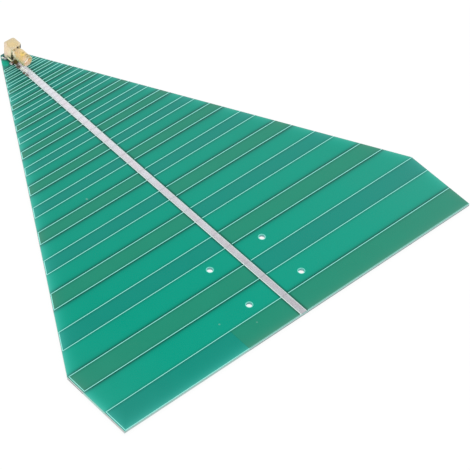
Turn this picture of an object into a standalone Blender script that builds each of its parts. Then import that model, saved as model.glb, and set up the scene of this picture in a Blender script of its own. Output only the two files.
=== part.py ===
"""Log periodic antenna: a two-sided circuit board with a right-angle coaxial jack at its tip.

X runs across the board, Y from the wide base edge to the tip, and Z up out of the printed
face. In the board's own frame Y is 0 at the base edge and Z is 0 at the laminate's underside.
An empty then carries the whole antenna, so that it stands on its leg tips at Z 0 with the
middle of its footprint at the origin. Sizes are in millimetres, and MM makes them metres.
"""

import math

import bmesh
import bpy

MM = 0.001

# Laminate
BOARD_WIDTH = 230.0
BOARD_LENGTH = 234.0
BOARD_THICKNESS = 1.6
STRAIGHT_SIDE = 42.2
TIP_WIDTH = 7.0

# Elements: strips that shrink towards one apex beyond the tip, and fill the board up to the jack
ELEMENT_COUNT = 20
APEX_BEYOND_TIP = 9.9
FIRST_STRIP_BASE = 1.3
FIRST_STRIP_WIDTH = 13.1
LAST_STRIP_CLEARANCE = 0.48
BASE_STUB_LENGTH = 36.0

# Foil, tinning and print
FOIL_THICKNESS = 0.05
FEED_WIDTH = 4.25
TINNING_WIDTH = 3.1
TINNING_THICKNESS = 0.1
COPPER_INSET = 0.15
LEGEND_LINE = 0.4
LEGEND_BASE_INSET = 0.03
LEGEND_STRAIGHT_INSET = 0.55
LEGEND_SLANT_INSET = 0.15
LEGEND_OPEN_INSET = 0.1
LEGEND_THICKNESS = 0.03
LEGEND_SIDE_GAP = 0.05

# Screw holes, in the gaps above the first and the second strip
SCREW_HOLE_DIAMETER = 4.0
SCREW_HOLE_SPACING = 34.8
LOWER_HOLE_ABOVE_STRIP = 6.6
UPPER_HOLE_ABOVE_STRIP = 8.2

# Jack
JACK_FROM_TIP = 6.0
BLOCK_WIDTH = 7.2
BLOCK_DEPTH = 7.2
BLOCK_HEIGHT = 8.7
BLOCK_LIFT = 2.5
BLOCK_CORNER_RADIUS = 1.5
BLOCK_TOP_RADIUS = 0.3
AXIS_BELOW_TOP = 3.7
BARREL_DIAMETER = 6.35
BARREL_LENGTH = 9.4
BARREL_CHAMFER = 0.35
RELIEF_DIAMETER = 5.5
RELIEF_LENGTH = 1.2
MOUTH_DIAMETER = 4.6
MOUTH_DEPTH = 1.9
CORE_DIAMETER = 4.1
CONTACT_DIAMETER = 1.27
SOCKET_DIAMETER = 0.92
SOCKET_DEPTH = 3.0
SLOT_WIDTH = 0.2
SLOT_DEPTH = 2.2
CAP_DIAMETER = 5.6
CAP_SEAT_DEPTH = 0.9
CAP_PROUD = 0.15
CAP_CHAMFER = 0.2
BUSH_DIAMETER = 4.4
BUSH_BELOW_AXIS = 1.2
LEG_PITCH = 5.08
LEG_DIAMETER = 1.0
LEG_BELOW_BOARD = 1.5
LEG_TIP_CHAMFER = 0.2

# Solder joints
PIN_HOLE_DIAMETER = 1.5
PAD_DIAMETER = 2.6
GROUND_CLEARANCE_DIAMETER = 3.2
NECK_WIDTH = 1.8
NECK_CLEARANCE = 0.5
FILLET_TOP_HEIGHT = 0.9
FILLET_BOTTOM_HEIGHT = 1.0
FILLET_RIM = 0.06
PIN_SOLDER_BELOW_TOP = 0.2

# Clearance between round pieces that fit in each other
FIT_GAP = 0.02

BARREL_STEPS = 32
PIN_STEPS = 16
SCREW_HOLE_STEPS = 32
FILLET_STEPS = 4
SHORTEST_EDGE = 0.1
MERGE_DISTANCE = 1e-6
SHARP_ANGLE = math.radians(35)

# Values worked out from the sizes above
BOARD_TOP = BOARD_THICKNESS
TOP_FOIL_FACE = BOARD_TOP + FOIL_THICKNESS
BOTTOM_FOIL_FACE = -FOIL_THICKNESS
APEX_Y = BOARD_LENGTH + APEX_BEYOND_TIP
SIDE_SLOPE = (BOARD_WIDTH - TIP_WIDTH) / 2 / (BOARD_LENGTH - STRAIGHT_SIDE)
JACK_Y = BOARD_LENGTH - JACK_FROM_TIP
BLOCK_BASE = BOARD_TOP + BLOCK_LIFT
BLOCK_TOP = BLOCK_BASE + BLOCK_HEIGHT
JACK_AXIS_Z = BLOCK_TOP - AXIS_BELOW_TOP
BARREL_END = BLOCK_DEPTH / 2 + BARREL_LENGTH
CORE_END = BARREL_END - MOUTH_DEPTH
CAP_SEAT_Z = BLOCK_TOP - CAP_SEAT_DEPTH
LEG_TIP_Z = -LEG_BELOW_BOARD
PAD_START_Y = JACK_Y - LEG_PITCH / 2 - PAD_DIAMETER / 2
PAD_END_Y = JACK_Y + LEG_PITCH / 2 + PAD_DIAMETER / 2
FIRST_LOW_TO_APEX = APEX_Y - FIRST_STRIP_BASE
FIRST_HIGH_TO_APEX = FIRST_LOW_TO_APEX - FIRST_STRIP_WIDTH
LAST_HIGH_TO_APEX = APEX_Y - PAD_START_Y + LAST_STRIP_CLEARANCE
ELEMENT_RATIO = (LAST_HIGH_TO_APEX / FIRST_HIGH_TO_APEX) ** (1 / (ELEMENT_COUNT - 1))


def clear_scene():
    """Remove whatever the file opened with."""
    for obj in list(bpy.data.objects):
        bpy.data.objects.remove(obj)


def make_collection(name):
    """Add a collection to the scene."""
    collection = bpy.data.collections.new(name)
    bpy.context.scene.collection.children.link(collection)
    return collection


def make_material(name, colour, roughness, metallic=0.0):
    """One Principled material with the part's own colour and gloss."""
    material = bpy.data.materials.new(name)
    material.use_nodes = True
    shader = material.node_tree.nodes["Principled BSDF"]
    shader.inputs["Base Color"].default_value = (*colour, 1.0)
    shader.inputs["Roughness"].default_value = roughness
    shader.inputs["Metallic"].default_value = metallic
    material.diffuse_color = (*colour, 1.0)
    return material


clear_scene()
PARTS = make_collection("log_periodic_antenna")
SHAPERS = make_collection("shapers")

MASK_GREEN = make_material("mask_on_laminate", (0.02, 0.42, 0.30), 0.35)
MASK_OLIVE = make_material("mask_on_copper", (0.04, 0.30, 0.18), 0.35)
TIN = make_material("tinned_copper", (0.62, 0.62, 0.66), 0.3, 1.0)
PRINT = make_material("legend_print", (0.75, 0.90, 0.85), 0.6)
GOLD = make_material("gold_plate", (0.85, 0.66, 0.32), 0.3, 1.0)
CORE_PLASTIC = make_material("core_plastic", (0.88, 0.86, 0.80), 0.5)

CARRIER = bpy.data.objects.new("antenna_carrier", None)
CARRIER.location = (0, -BOARD_LENGTH / 2 * MM, LEG_BELOW_BOARD * MM)
PARTS.objects.link(CARRIER)


# Placing pieces


def place(obj, material=None, shaper=False):
    """Hang a piece on the carrier; a shaper only cuts or joins other pieces."""
    (SHAPERS if shaper else PARTS).objects.link(obj)
    obj.parent = CARRIER
    if shaper:
        obj.hide_render = True
        obj.display_type = "WIRE"
    if material:
        obj.data.materials.append(material)
    return obj


def flat_piece(name, loops, base, thickness, material):
    """A flat sheet: its outline and its holes are the loops of one filled curve."""
    curve = bpy.data.curves.new(name, "CURVE")
    curve.dimensions = "2D"
    curve.fill_mode = "BOTH"
    curve.extrude = thickness / 2 * MM
    for loop in loops:
        spline = curve.splines.new("POLY")
        spline.points.add(len(loop) - 1)
        for point, (x, y) in zip(spline.points, loop):
            point.co = (x * MM, y * MM, 0, 1)
        spline.use_cyclic_u = True
    obj = bpy.data.objects.new(name, curve)
    obj.location.z = (base + thickness / 2) * MM
    return place(obj, material)


def turned_piece(name, profile, steps, material=None, shaper=False, ring=False):
    """Turn a profile of (radius, height) points, which runs down its outer side, about Z."""
    count = len(profile)
    edges = [(i, i + 1) for i in range(count - 1)]
    if ring:
        edges.append((count - 1, 0))
    mesh = bpy.data.meshes.new(name)
    mesh.from_pydata([(r * MM, 0, z * MM) for r, z in profile], edges, [])
    obj = bpy.data.objects.new(name, mesh)
    screw = obj.modifiers.new("turn", "SCREW")
    screw.steps = steps
    screw.render_steps = steps
    screw.use_merge_vertices = True
    screw.merge_threshold = MERGE_DISTANCE
    weld = obj.modifiers.new("poles", "WELD")
    weld.merge_threshold = MERGE_DISTANCE
    return place(obj, material, shaper)


def combine(obj, operation, other):
    """Join another shape to a piece or cut it out of the piece."""
    boolean = obj.modifiers.new(other.name, "BOOLEAN")
    boolean.operation = operation
    boolean.object = other


def settle(obj):
    """Turn a piece's modifiers into its mesh, shaded smooth with its sharp edges kept."""
    bpy.context.view_layer.update()
    shape = obj.evaluated_get(bpy.context.evaluated_depsgraph_get())
    mesh = bpy.data.meshes.new_from_object(shape)
    obj.modifiers.clear()
    obj.data = mesh
    mesh.shade_smooth()
    mesh.set_sharp_from_angle(angle=SHARP_ANGLE)


def aim_at_base(obj):
    """Lay a turned piece along the jack's axis, its height pointing at the base edge."""
    obj.location = (0, JACK_Y * MM, JACK_AXIS_Z * MM)
    obj.rotation_euler = (math.pi / 2, 0, 0)


# Outlines


def circle(x, y, diameter, steps):
    """Points round a hole or a pad."""
    angles = [2 * math.pi * i / steps for i in range(steps)]
    return [(x + diameter / 2 * math.cos(a), y + diameter / 2 * math.sin(a)) for a in angles]


def strip_edges(index):
    """Lower and upper edge of one element, counted from the base: each is one ratio nearer."""
    shrink = ELEMENT_RATIO**index
    return APEX_Y - FIRST_LOW_TO_APEX * shrink, APEX_Y - FIRST_HIGH_TO_APEX * shrink


def side_x(y, inset, slant_inset=None):
    """Half the board's width at one height, less an inset square to its straight or slanted edge."""
    lean = math.hypot(1, SIDE_SLOPE) * (inset if slant_inset is None else slant_inset)
    slant = BOARD_WIDTH / 2 - (y - STRAIGHT_SIDE) * SIDE_SLOPE - lean
    return min(BOARD_WIDTH / 2 - inset, slant)


def side_points(low, high, inset, slant_inset=None):
    """The board's edge between two heights, with the shoulder unless it meets one of them."""
    lean = math.hypot(1, SIDE_SLOPE) * (inset if slant_inset is None else slant_inset)
    shoulder = STRAIGHT_SIDE + (inset - lean) / SIDE_SLOPE
    points = [(side_x(low, inset, slant_inset), low)]
    if low + SHORTEST_EDGE < shoulder < high - SHORTEST_EDGE:
        points.append((side_x(shoulder, inset, slant_inset), shoulder))
    points.append((side_x(high, inset, slant_inset), high))
    return points


def mirrored(points):
    """The same points on the left side, in the order that carries an outline on."""
    return [(-x, y) for x, y in reversed(points)]


def comb_side(first, inner, stub=0.0):
    """One side of a foil, base to tip: every second half-element from the first one on."""
    points = []
    for index in range(first, ELEMENT_COUNT, 2):
        low, high = strip_edges(index)
        if index == 0:
            points += side_points(COPPER_INSET, high, COPPER_INSET)
        else:
            points.append((inner, low))
            points += side_points(low, high, COPPER_INSET)
        points.append((inner, high))
    if first:
        start = [(inner, COPPER_INSET)]
        if stub:
            upper = strip_edges(0)[1]
            start = [(stub, COPPER_INSET), (stub, upper), (inner, upper)]
        points = start + points
    return points


def leg_places():
    """Centres of the jack's four legs."""
    half = LEG_PITCH / 2
    return [(x * half, JACK_Y + y * half) for y in (-1, 1) for x in (-1, 1)]


def screw_hole_places():
    """Centres of the four screw holes."""
    rows = (
        strip_edges(0)[1] + LOWER_HOLE_ABOVE_STRIP,
        strip_edges(1)[1] + UPPER_HOLE_ABOVE_STRIP,
    )
    return [(x * SCREW_HOLE_SPACING / 2, y) for y in rows for x in (-1, 1)]


# Board


def make_laminate():
    """The glass-fibre board with its screw holes and the jack's drillings."""
    side = [(BOARD_WIDTH / 2, 0), (BOARD_WIDTH / 2, STRAIGHT_SIDE), (TIP_WIDTH / 2, BOARD_LENGTH)]
    loops = [side + mirrored(side)]
    for x, y in screw_hole_places():
        loops.append(circle(x, y, SCREW_HOLE_DIAMETER, SCREW_HOLE_STEPS))
    for x, y in leg_places() + [(0, JACK_Y)]:
        loops.append(circle(x, y, PIN_HOLE_DIAMETER, PIN_STEPS))
    flat_piece("laminate", loops, 0, BOARD_THICKNESS, MASK_GREEN)


def make_top_copper():
    """Front foil: feed line, every second half-element, the base stub and the ground pad."""
    inner = FEED_WIDTH / 2
    pad = LEG_PITCH / 2 + PAD_DIAMETER / 2
    tip = [(inner, PAD_START_Y), (pad, PAD_START_Y), (pad, PAD_END_Y)]
    right = comb_side(0, inner) + tip
    left = comb_side(1, inner, BASE_STUB_LENGTH) + tip
    loops = [right + mirrored(left)]
    for x, y in leg_places():
        loops.append(circle(x, y, PIN_HOLE_DIAMETER, PIN_STEPS))
    loops.append(circle(0, JACK_Y, GROUND_CLEARANCE_DIAMETER, PIN_STEPS))
    flat_piece("top_copper", loops, BOARD_TOP, FOIL_THICKNESS, MASK_OLIVE)


def make_bottom_copper():
    """Back foil: the same comb with its sides changed over, and a neck to the centre pin."""
    inner = FEED_WIDTH / 2
    neck = NECK_WIDTH / 2
    neck_start = PAD_START_Y - NECK_CLEARANCE
    neck_angle = math.asin(NECK_WIDTH / PAD_DIAMETER)
    tip = [(inner, neck_start), (neck, neck_start)]
    sweep = 2 * math.pi - 2 * neck_angle
    pad = []
    for i in range(2 * PIN_STEPS + 1):
        angle = neck_angle - math.pi / 2 + sweep * i / (2 * PIN_STEPS)
        pad.append((PAD_DIAMETER / 2 * math.cos(angle), JACK_Y + PAD_DIAMETER / 2 * math.sin(angle)))
    outline = comb_side(1, inner) + tip + pad + mirrored(comb_side(0, inner) + tip)
    loops = [outline, circle(0, JACK_Y, PIN_HOLE_DIAMETER, PIN_STEPS)]
    flat_piece("bottom_copper", loops, BOTTOM_FOIL_FACE, FOIL_THICKNESS, MASK_OLIVE)


def make_leg_pads():
    """Round back pads, clear of the feed line, that the legs are soldered to."""
    for number, (x, y) in enumerate(leg_places(), 1):
        loops = [circle(x, y, PAD_DIAMETER, 2 * PIN_STEPS), circle(x, y, PIN_HOLE_DIAMETER, PIN_STEPS)]
        flat_piece(f"leg_pad_{number}", loops, BOTTOM_FOIL_FACE, FOIL_THICKNESS, TIN)


def make_tinning():
    """Bare tinned strips along both feed lines."""
    half = TINNING_WIDTH / 2
    top_end = strip_edges(ELEMENT_COUNT - 1)[1]
    bottom_end = PAD_START_Y - NECK_CLEARANCE
    strips = (
        ("top_feed_tinning", top_end, TOP_FOIL_FACE),
        ("bottom_feed_tinning", bottom_end, BOTTOM_FOIL_FACE - TINNING_THICKNESS),
    )
    for name, end, base in strips:
        outline = [(-half, COPPER_INSET), (half, COPPER_INSET), (half, end), (-half, end)]
        flat_piece(name, [outline], base, TINNING_THICKNESS, TIN)


def legend_lines(index):
    """Heights of an element's two printed lines: lower line, then upper line."""
    low, high = strip_edges(index)
    half = LEGEND_LINE / 2
    if index == 0:
        low = LEGEND_BASE_INSET + half
    return low - half, low + half, high - half, high + half


def framed_cells(a, b, c, d):
    """One element's lines on the left, closed by a line along the board's edge."""
    root = FEED_WIDTH / 2
    insets = (LEGEND_STRAIGHT_INSET, LEGEND_SLANT_INSET)
    outer = side_points(b, c, *insets)
    inner = side_points(b, c, *[inset + LEGEND_LINE for inset in insets])[::-1]
    return [
        [(root, a), (side_x(a, *insets), a), outer[0], inner[-1], (root, b)],
        outer + inner,
        [(root, c), inner[0], outer[-1], (side_x(d, *insets), d), (root, d)],
    ]


def open_cells(a, b, c, d):
    """One element's lines on the right, which run out to the board's edge."""
    root = FEED_WIDTH / 2
    inset = LEGEND_OPEN_INSET
    return [
        [(root, low), (side_x(low, inset), low), (side_x(high, inset), high), (root, high)]
        for low, high in ((a, b), (c, d))
    ]


def legend_cells(element_cells):
    """A legend as cells that share corners: a spine beside the feed, and every element's lines."""
    spine = TINNING_WIDTH / 2 + LEGEND_SIDE_GAP
    root = FEED_WIDTH / 2
    cells = []
    below = None
    for index in range(ELEMENT_COUNT):
        a, b, c, d = legend_lines(index)
        if below:
            cells.append([(spine, below), (root, below), (root, a), (spine, a)])
        cells.append([(spine, a), (root, a), (root, b), (root, c), (root, d), (spine, d)])
        cells += element_cells(a, b, c, d)
        below = d
    return cells


def make_legend(name, sign, element_cells):
    """The printed lines on one side of the feed."""
    corners = {}
    faces = []
    for cell in legend_cells(element_cells):
        if sign < 0:
            cell = [(-x, y) for x, y in cell[::-1]]
        faces.append([corners.setdefault(corner, len(corners)) for corner in cell])
    mesh = bpy.data.meshes.new(name)
    mesh.from_pydata([(x * MM, y * MM, TOP_FOIL_FACE * MM) for x, y in corners], [], faces)
    legend = place(bpy.data.objects.new(name, mesh), PRINT)
    print_depth = legend.modifiers.new("print", "SOLIDIFY")
    print_depth.thickness = LEGEND_THICKNESS * MM
    print_depth.offset = 1


# Jack


def make_block():
    """The jack's square block: round upright corners, and a small round along its top."""
    mesh = bpy.data.meshes.new("connector_body")
    block = bmesh.new()
    bmesh.ops.create_cube(block, size=1.0)
    bmesh.ops.scale(block, vec=[BLOCK_WIDTH * MM, BLOCK_DEPTH * MM, BLOCK_HEIGHT * MM], verts=block.verts)
    middle = (BLOCK_BASE + BLOCK_HEIGHT / 2) * MM
    bmesh.ops.translate(block, vec=(0, JACK_Y * MM, middle), verts=block.verts)
    upright = [e for e in block.edges if abs(e.verts[0].co.z - e.verts[1].co.z) > MERGE_DISTANCE]
    bmesh.ops.bevel(block, geom=upright, offset=BLOCK_CORNER_RADIUS * MM, segments=4, profile=0.5, affect="EDGES")
    rim = [e for e in block.edges if all(v.co.z > middle and e.calc_face_angle(0) > 1 for v in e.verts)]
    bmesh.ops.bevel(block, geom=rim, offset=BLOCK_TOP_RADIUS * MM, segments=2, profile=0.5, affect="EDGES")
    block.to_mesh(mesh)
    block.free()
    return place(bpy.data.objects.new("connector_body", mesh), GOLD)


def make_body():
    """Block, barrel and legs in one piece, bored for the core, the bush and the cap."""
    body = make_block()
    barrel_r = BARREL_DIAMETER / 2
    relief_r = RELIEF_DIAMETER / 2
    thread_start = BLOCK_DEPTH / 2 + RELIEF_LENGTH
    barrel = turned_piece(
        "barrel_shape",
        [
            (0, BARREL_END),
            (barrel_r - BARREL_CHAMFER, BARREL_END),
            (barrel_r, BARREL_END - BARREL_CHAMFER),
            (barrel_r, thread_start + BARREL_CHAMFER),
            (relief_r, thread_start),
            (relief_r, 0),
            (0, 0),
        ],
        BARREL_STEPS,
        shaper=True,
    )
    aim_at_base(barrel)
    combine(body, "UNION", barrel)

    leg_r = LEG_DIAMETER / 2
    leg_top = BLOCK_BASE + leg_r
    for number, (x, y) in enumerate(leg_places(), 1):
        leg = turned_piece(
            f"leg_shape_{number}",
            [
                (0, leg_top),
                (leg_r, leg_top),
                (leg_r, LEG_TIP_Z + LEG_TIP_CHAMFER),
                (leg_r - LEG_TIP_CHAMFER, LEG_TIP_Z),
                (0, LEG_TIP_Z),
            ],
            PIN_STEPS,
            shaper=True,
        )
        leg.location = (x * MM, y * MM, 0)
        combine(body, "UNION", leg)

    past = BARREL_CHAMFER
    mouth_r = MOUTH_DIAMETER / 2
    core_r = CORE_DIAMETER / 2
    bore = turned_piece(
        "bore_shape",
        [
            (0, BARREL_END + past),
            (mouth_r, BARREL_END + past),
            (mouth_r, CORE_END),
            (core_r, CORE_END),
            (core_r, 0),
            (0, 0),
        ],
        BARREL_STEPS,
        shaper=True,
    )
    aim_at_base(bore)

    cap_r = CAP_DIAMETER / 2
    bush_r = BUSH_DIAMETER / 2
    shaft = turned_piece(
        "shaft_shape",
        [
            (0, BLOCK_TOP + past),
            (cap_r, BLOCK_TOP + past),
            (cap_r, CAP_SEAT_Z),
            (bush_r, CAP_SEAT_Z),
            (bush_r, BLOCK_BASE - past),
            (0, BLOCK_BASE - past),
        ],
        BARREL_STEPS,
        shaper=True,
    )
    shaft.location.y = JACK_Y * MM
    combine(bore, "UNION", shaft)
    combine(body, "DIFFERENCE", bore)
    settle(body)


def make_cap():
    """The round cap pressed into the block's top."""
    radius = CAP_DIAMETER / 2 - FIT_GAP
    top = BLOCK_TOP + CAP_PROUD
    profile = [(0, top), (radius - CAP_CHAMFER, top), (radius, top - CAP_CHAMFER), (radius, CAP_SEAT_Z), (0, CAP_SEAT_Z)]
    cap = turned_piece("connector_cap", profile, BARREL_STEPS, GOLD)
    cap.location.y = JACK_Y * MM
    settle(cap)


def make_core():
    """The plastic core in the barrel, flush with the floor of its mouth."""
    outer = CORE_DIAMETER / 2 - FIT_GAP
    inner = CONTACT_DIAMETER / 2 + FIT_GAP
    start = BUSH_DIAMETER / 2
    profile = [(outer, CORE_END), (outer, start), (inner, start), (inner, CORE_END)]
    core = turned_piece("connector_insulator", profile, BARREL_STEPS, CORE_PLASTIC, ring=True)
    aim_at_base(core)
    settle(core)


def make_contact():
    """The centre contact: a rod with a slotted socket at its front end."""
    outer = CONTACT_DIAMETER / 2
    socket = SOCKET_DIAMETER / 2
    socket_floor = CORE_END - SOCKET_DEPTH
    back = LEG_DIAMETER / 2 + FIT_GAP
    profile = [
        (socket, CORE_END),
        (outer, CORE_END),
        (outer, back),
        (0, back),
        (0, socket_floor),
        (socket, socket_floor),
    ]
    contact = turned_piece("connector_contact", profile, PIN_STEPS, GOLD, ring=True)
    aim_at_base(contact)
    for number, size in enumerate(((SLOT_WIDTH, CONTACT_DIAMETER), (CONTACT_DIAMETER, SLOT_WIDTH)), 1):
        name = f"slot_shape_{number}"
        mesh = bpy.data.meshes.new(name)
        slot = bmesh.new()
        bmesh.ops.create_cube(slot, size=1.0)
        past = SLOT_WIDTH
        extent = [2 * size[0] * MM, (SLOT_DEPTH + past) * MM, 2 * size[1] * MM]
        extent = [e / 2 if e == 2 * SLOT_WIDTH * MM else e for e in extent]
        bmesh.ops.scale(slot, vec=extent, verts=slot.verts)
        slot.to_mesh(mesh)
        slot.free()
        shape = place(bpy.data.objects.new(name, mesh), shaper=True)
        front = JACK_Y - CORE_END
        shape.location = (0, (front + (SLOT_DEPTH - past) / 2) * MM, JACK_AXIS_Z * MM)
        combine(contact, "DIFFERENCE", shape)
    settle(contact)


def make_tail():
    """The contact's upright pin, and the plastic bush round it in the block's foot."""
    radius = LEG_DIAMETER / 2
    top = JACK_AXIS_Z + CONTACT_DIAMETER / 2
    profile = [
        (0, top),
        (radius, top),
        (radius, LEG_TIP_Z + LEG_TIP_CHAMFER),
        (radius - LEG_TIP_CHAMFER, LEG_TIP_Z),
        (0, LEG_TIP_Z),
    ]
    tail = turned_piece("connector_tail", profile, PIN_STEPS, GOLD)
    tail.location.y = JACK_Y * MM
    settle(tail)

    outer = BUSH_DIAMETER / 2 - FIT_GAP
    inner = radius + FIT_GAP
    bush_top = JACK_AXIS_Z - BUSH_BELOW_AXIS
    ring = [(outer, bush_top), (outer, BLOCK_BASE), (inner, BLOCK_BASE), (inner, bush_top)]
    bush = turned_piece("tail_insulator", ring, BARREL_STEPS, CORE_PLASTIC, ring=True)
    bush.location.y = JACK_Y * MM
    settle(bush)


# Solder


def fillet(foot, height):
    """A hollow solder curve from a pin's side down to its pad; height is negative below."""
    pin = LEG_DIAMETER / 2 + FIT_GAP + FILLET_RIM
    pad = PAD_DIAMETER / 2
    rim = math.copysign(FILLET_RIM, height)
    points = []
    for i in range(FILLET_STEPS + 1):
        share = i / FILLET_STEPS
        radius = pin + (pad - pin) * share
        points.append((radius, foot + rim + (height - rim) * (1 - share) ** 2))
    return points


def make_solder():
    """A joint round each leg on both faces, and one round the centre pin below."""
    inner = LEG_DIAMETER / 2 + FIT_GAP
    hole = PIN_HOLE_DIAMETER / 2 - FIT_GAP
    pad = PAD_DIAMETER / 2
    below = fillet(BOTTOM_FOIL_FACE, -FILLET_BOTTOM_HEIGHT)[::-1]
    above = fillet(TOP_FOIL_FACE, FILLET_TOP_HEIGHT)
    lower = [(hole, BOTTOM_FOIL_FACE), (pad, BOTTOM_FOIL_FACE)] + below + [(inner, below[-1][1])]
    joint = [(inner, above[0][1])] + above + [(pad, TOP_FOIL_FACE), (hole, TOP_FOIL_FACE)] + lower
    for number, (x, y) in enumerate(leg_places(), 1):
        solder = turned_piece(f"leg_solder_{number}", joint, PIN_STEPS, TIN, ring=True)
        solder.location = (x * MM, y * MM, 0)
        settle(solder)
    top = BOARD_TOP - PIN_SOLDER_BELOW_TOP
    solder = turned_piece("pin_solder", [(inner, top), (hole, top)] + lower, PIN_STEPS, TIN, ring=True)
    solder.location.y = JACK_Y * MM
    settle(solder)


make_laminate()
make_top_copper()
make_bottom_copper()
make_leg_pads()
make_tinning()
make_legend("top_legend_right", 1, open_cells)
make_legend("top_legend_left", -1, framed_cells)
make_body()
make_cap()
make_core()
make_contact()
make_tail()
make_solder()
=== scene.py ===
"""Looks of the log periodic antenna: its board, feed lines, jack and solder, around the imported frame.

The file is laid out as a Blender add-on and runs as a script. Sizes are in metres, in the
row's frame: X across the board, Y from the base edge to the tip, Z out of the printed face.
"""

import math

import bmesh
import bpy
from bpy.props import FloatProperty, FloatVectorProperty, IntProperty, PointerProperty
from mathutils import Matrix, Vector


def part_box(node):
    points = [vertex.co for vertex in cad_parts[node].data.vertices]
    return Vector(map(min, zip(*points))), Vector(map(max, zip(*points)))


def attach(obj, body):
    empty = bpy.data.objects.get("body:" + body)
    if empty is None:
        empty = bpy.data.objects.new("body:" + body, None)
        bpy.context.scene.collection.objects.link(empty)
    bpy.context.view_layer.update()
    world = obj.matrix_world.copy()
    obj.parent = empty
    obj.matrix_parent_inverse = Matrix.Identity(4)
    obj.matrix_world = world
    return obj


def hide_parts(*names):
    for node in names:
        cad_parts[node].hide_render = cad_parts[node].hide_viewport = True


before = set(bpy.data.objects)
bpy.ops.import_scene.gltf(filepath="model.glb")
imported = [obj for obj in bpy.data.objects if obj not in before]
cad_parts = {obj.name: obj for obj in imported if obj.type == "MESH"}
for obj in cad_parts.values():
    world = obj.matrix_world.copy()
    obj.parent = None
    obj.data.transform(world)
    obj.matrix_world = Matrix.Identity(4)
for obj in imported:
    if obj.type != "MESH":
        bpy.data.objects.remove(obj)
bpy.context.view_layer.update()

MM = 0.001
BODY = "root"

bl_info = {
    "name": "Log Periodic Antenna Looks",
    "version": (1, 0, 0),
    "blender": (4, 5, 0),
    "location": "3D View > Sidebar > Antenna",
    "description": "Dresses a log periodic circuit-board antenna and sets its stage",
    "category": "Object",
}

BOARD_LOW, BOARD_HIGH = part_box("laminate")
TINNING_LOW, TINNING_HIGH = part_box("top_feed_tinning")
BODY_LOW, BODY_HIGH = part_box("connector_body")
CAP_LOW, CAP_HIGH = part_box("connector_cap")
CORE_LOW, CORE_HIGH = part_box("connector_insulator")
CONTACT_LOW, CONTACT_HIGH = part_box("connector_contact")
TAIL_LOW, TAIL_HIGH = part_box("connector_tail")
BUSH_LOW, BUSH_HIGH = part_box("tail_insulator")
JOINT_LOW, JOINT_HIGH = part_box("leg_solder_1")
PIN_JOINT_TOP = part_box("pin_solder")[1].z
CAP_RADIUS = (CAP_HIGH.x - CAP_LOW.x) / 2
CORE_RADIUS = (CORE_HIGH.x - CORE_LOW.x) / 2
CONTACT_RADIUS = (CONTACT_HIGH.x - CONTACT_LOW.x) / 2
TAIL_RADIUS = (TAIL_HIGH.x - TAIL_LOW.x) / 2
BUSH_RADIUS = (BUSH_HIGH.x - BUSH_LOW.x) / 2
JOINT_RADIUS = (JOINT_HIGH.x - JOINT_LOW.x) / 2
JACK_Y = (CAP_LOW.y + CAP_HIGH.y) / 2
JACK_AXIS_Z = (CORE_LOW.z + CORE_HIGH.z) / 2
FRONT_FOIL_Z = TINNING_LOW.z

MERGE_DISTANCE = 1e-6
SMOOTH_ANGLE = math.radians(32)
ROUND_STEPS = 64
PIN_STEPS = 32
HOLE_SIDES = 32
CAMERA_REACH = 50.0
CLEARANCE = 0.02 * MM
DRILL_RADIUS = 0.73 * MM
JOINT_OVERLAP = 0.04 * MM
BACK_FOIL_FACE = BOARD_LOW.z - 0.05 * MM
RIM_REACH = 2.6 * MM
WEAVE_PITCH = 0.55 * MM
MASK_DEPTH = 0.02 * MM
SOLDER_DEPTH = 0.03 * MM
GOLD_NAME = "gold_plate_worn"


def length(name, description, default):
    """A length in metres that the user may change."""
    return FloatProperty(
        name=name, description=description, default=default, unit="LENGTH", precision=5,
    )


def colour(name, description, default):
    """A linear colour that the user may change."""
    return FloatVectorProperty(
        name=name, description=description, default=default, size=3, subtype="COLOR", min=0.0, max=1.0,
    )


def place(name, description, default):
    """A place that the user may change."""
    return FloatVectorProperty(
        name=name, description=description, default=default, subtype="TRANSLATION", unit="LENGTH",
    )


# Settings


class AntennaStripSettings(bpy.types.PropertyGroup):
    """The etched strips that show through the solder mask."""

    apex: length("Apex", "Y of the point that all strips shrink towards", BOARD_HIGH.y + 9.9 * MM)
    first_low: length("First strip, near edge", "From the apex to the first strip's base edge", 242.6 * MM)
    first_high: length("First strip, far edge", "From the apex to the first strip's tip edge", 229.5 * MM)
    count: IntProperty(name="Strips", description="Number of strips on each face", default=20, min=2)
    stub: length("Base stub", "Reach of the front foil's stub beside the feed line at the base", 36 * MM)
    feed_half: length("Feed half width", "Half the width of the feed line's foil", 2.125 * MM)
    straight_side: length("Straight side", "Length of the board's two sides next to its base edge", 42.2 * MM)
    tip_half: length("Tip half width", "Half the width of the board's tip", 3.5 * MM)
    hole_across: length("Holes across", "Distance between the left and the right screw holes", 34.8 * MM)
    hole_lower: length("Lower holes", "Distance of the lower screw holes from the base edge", 21.0 * MM)
    hole_upper: length("Upper holes", "Distance of the upper screw holes from the base edge", 50.15 * MM)
    hole_diameter: length("Screw hole", "Diameter of the screw holes with their bare rings", 4.0 * MM)
    hole_clear: length("Clear hole", "Diameter of the screw holes inside their bare rings", 3.2 * MM)


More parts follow.
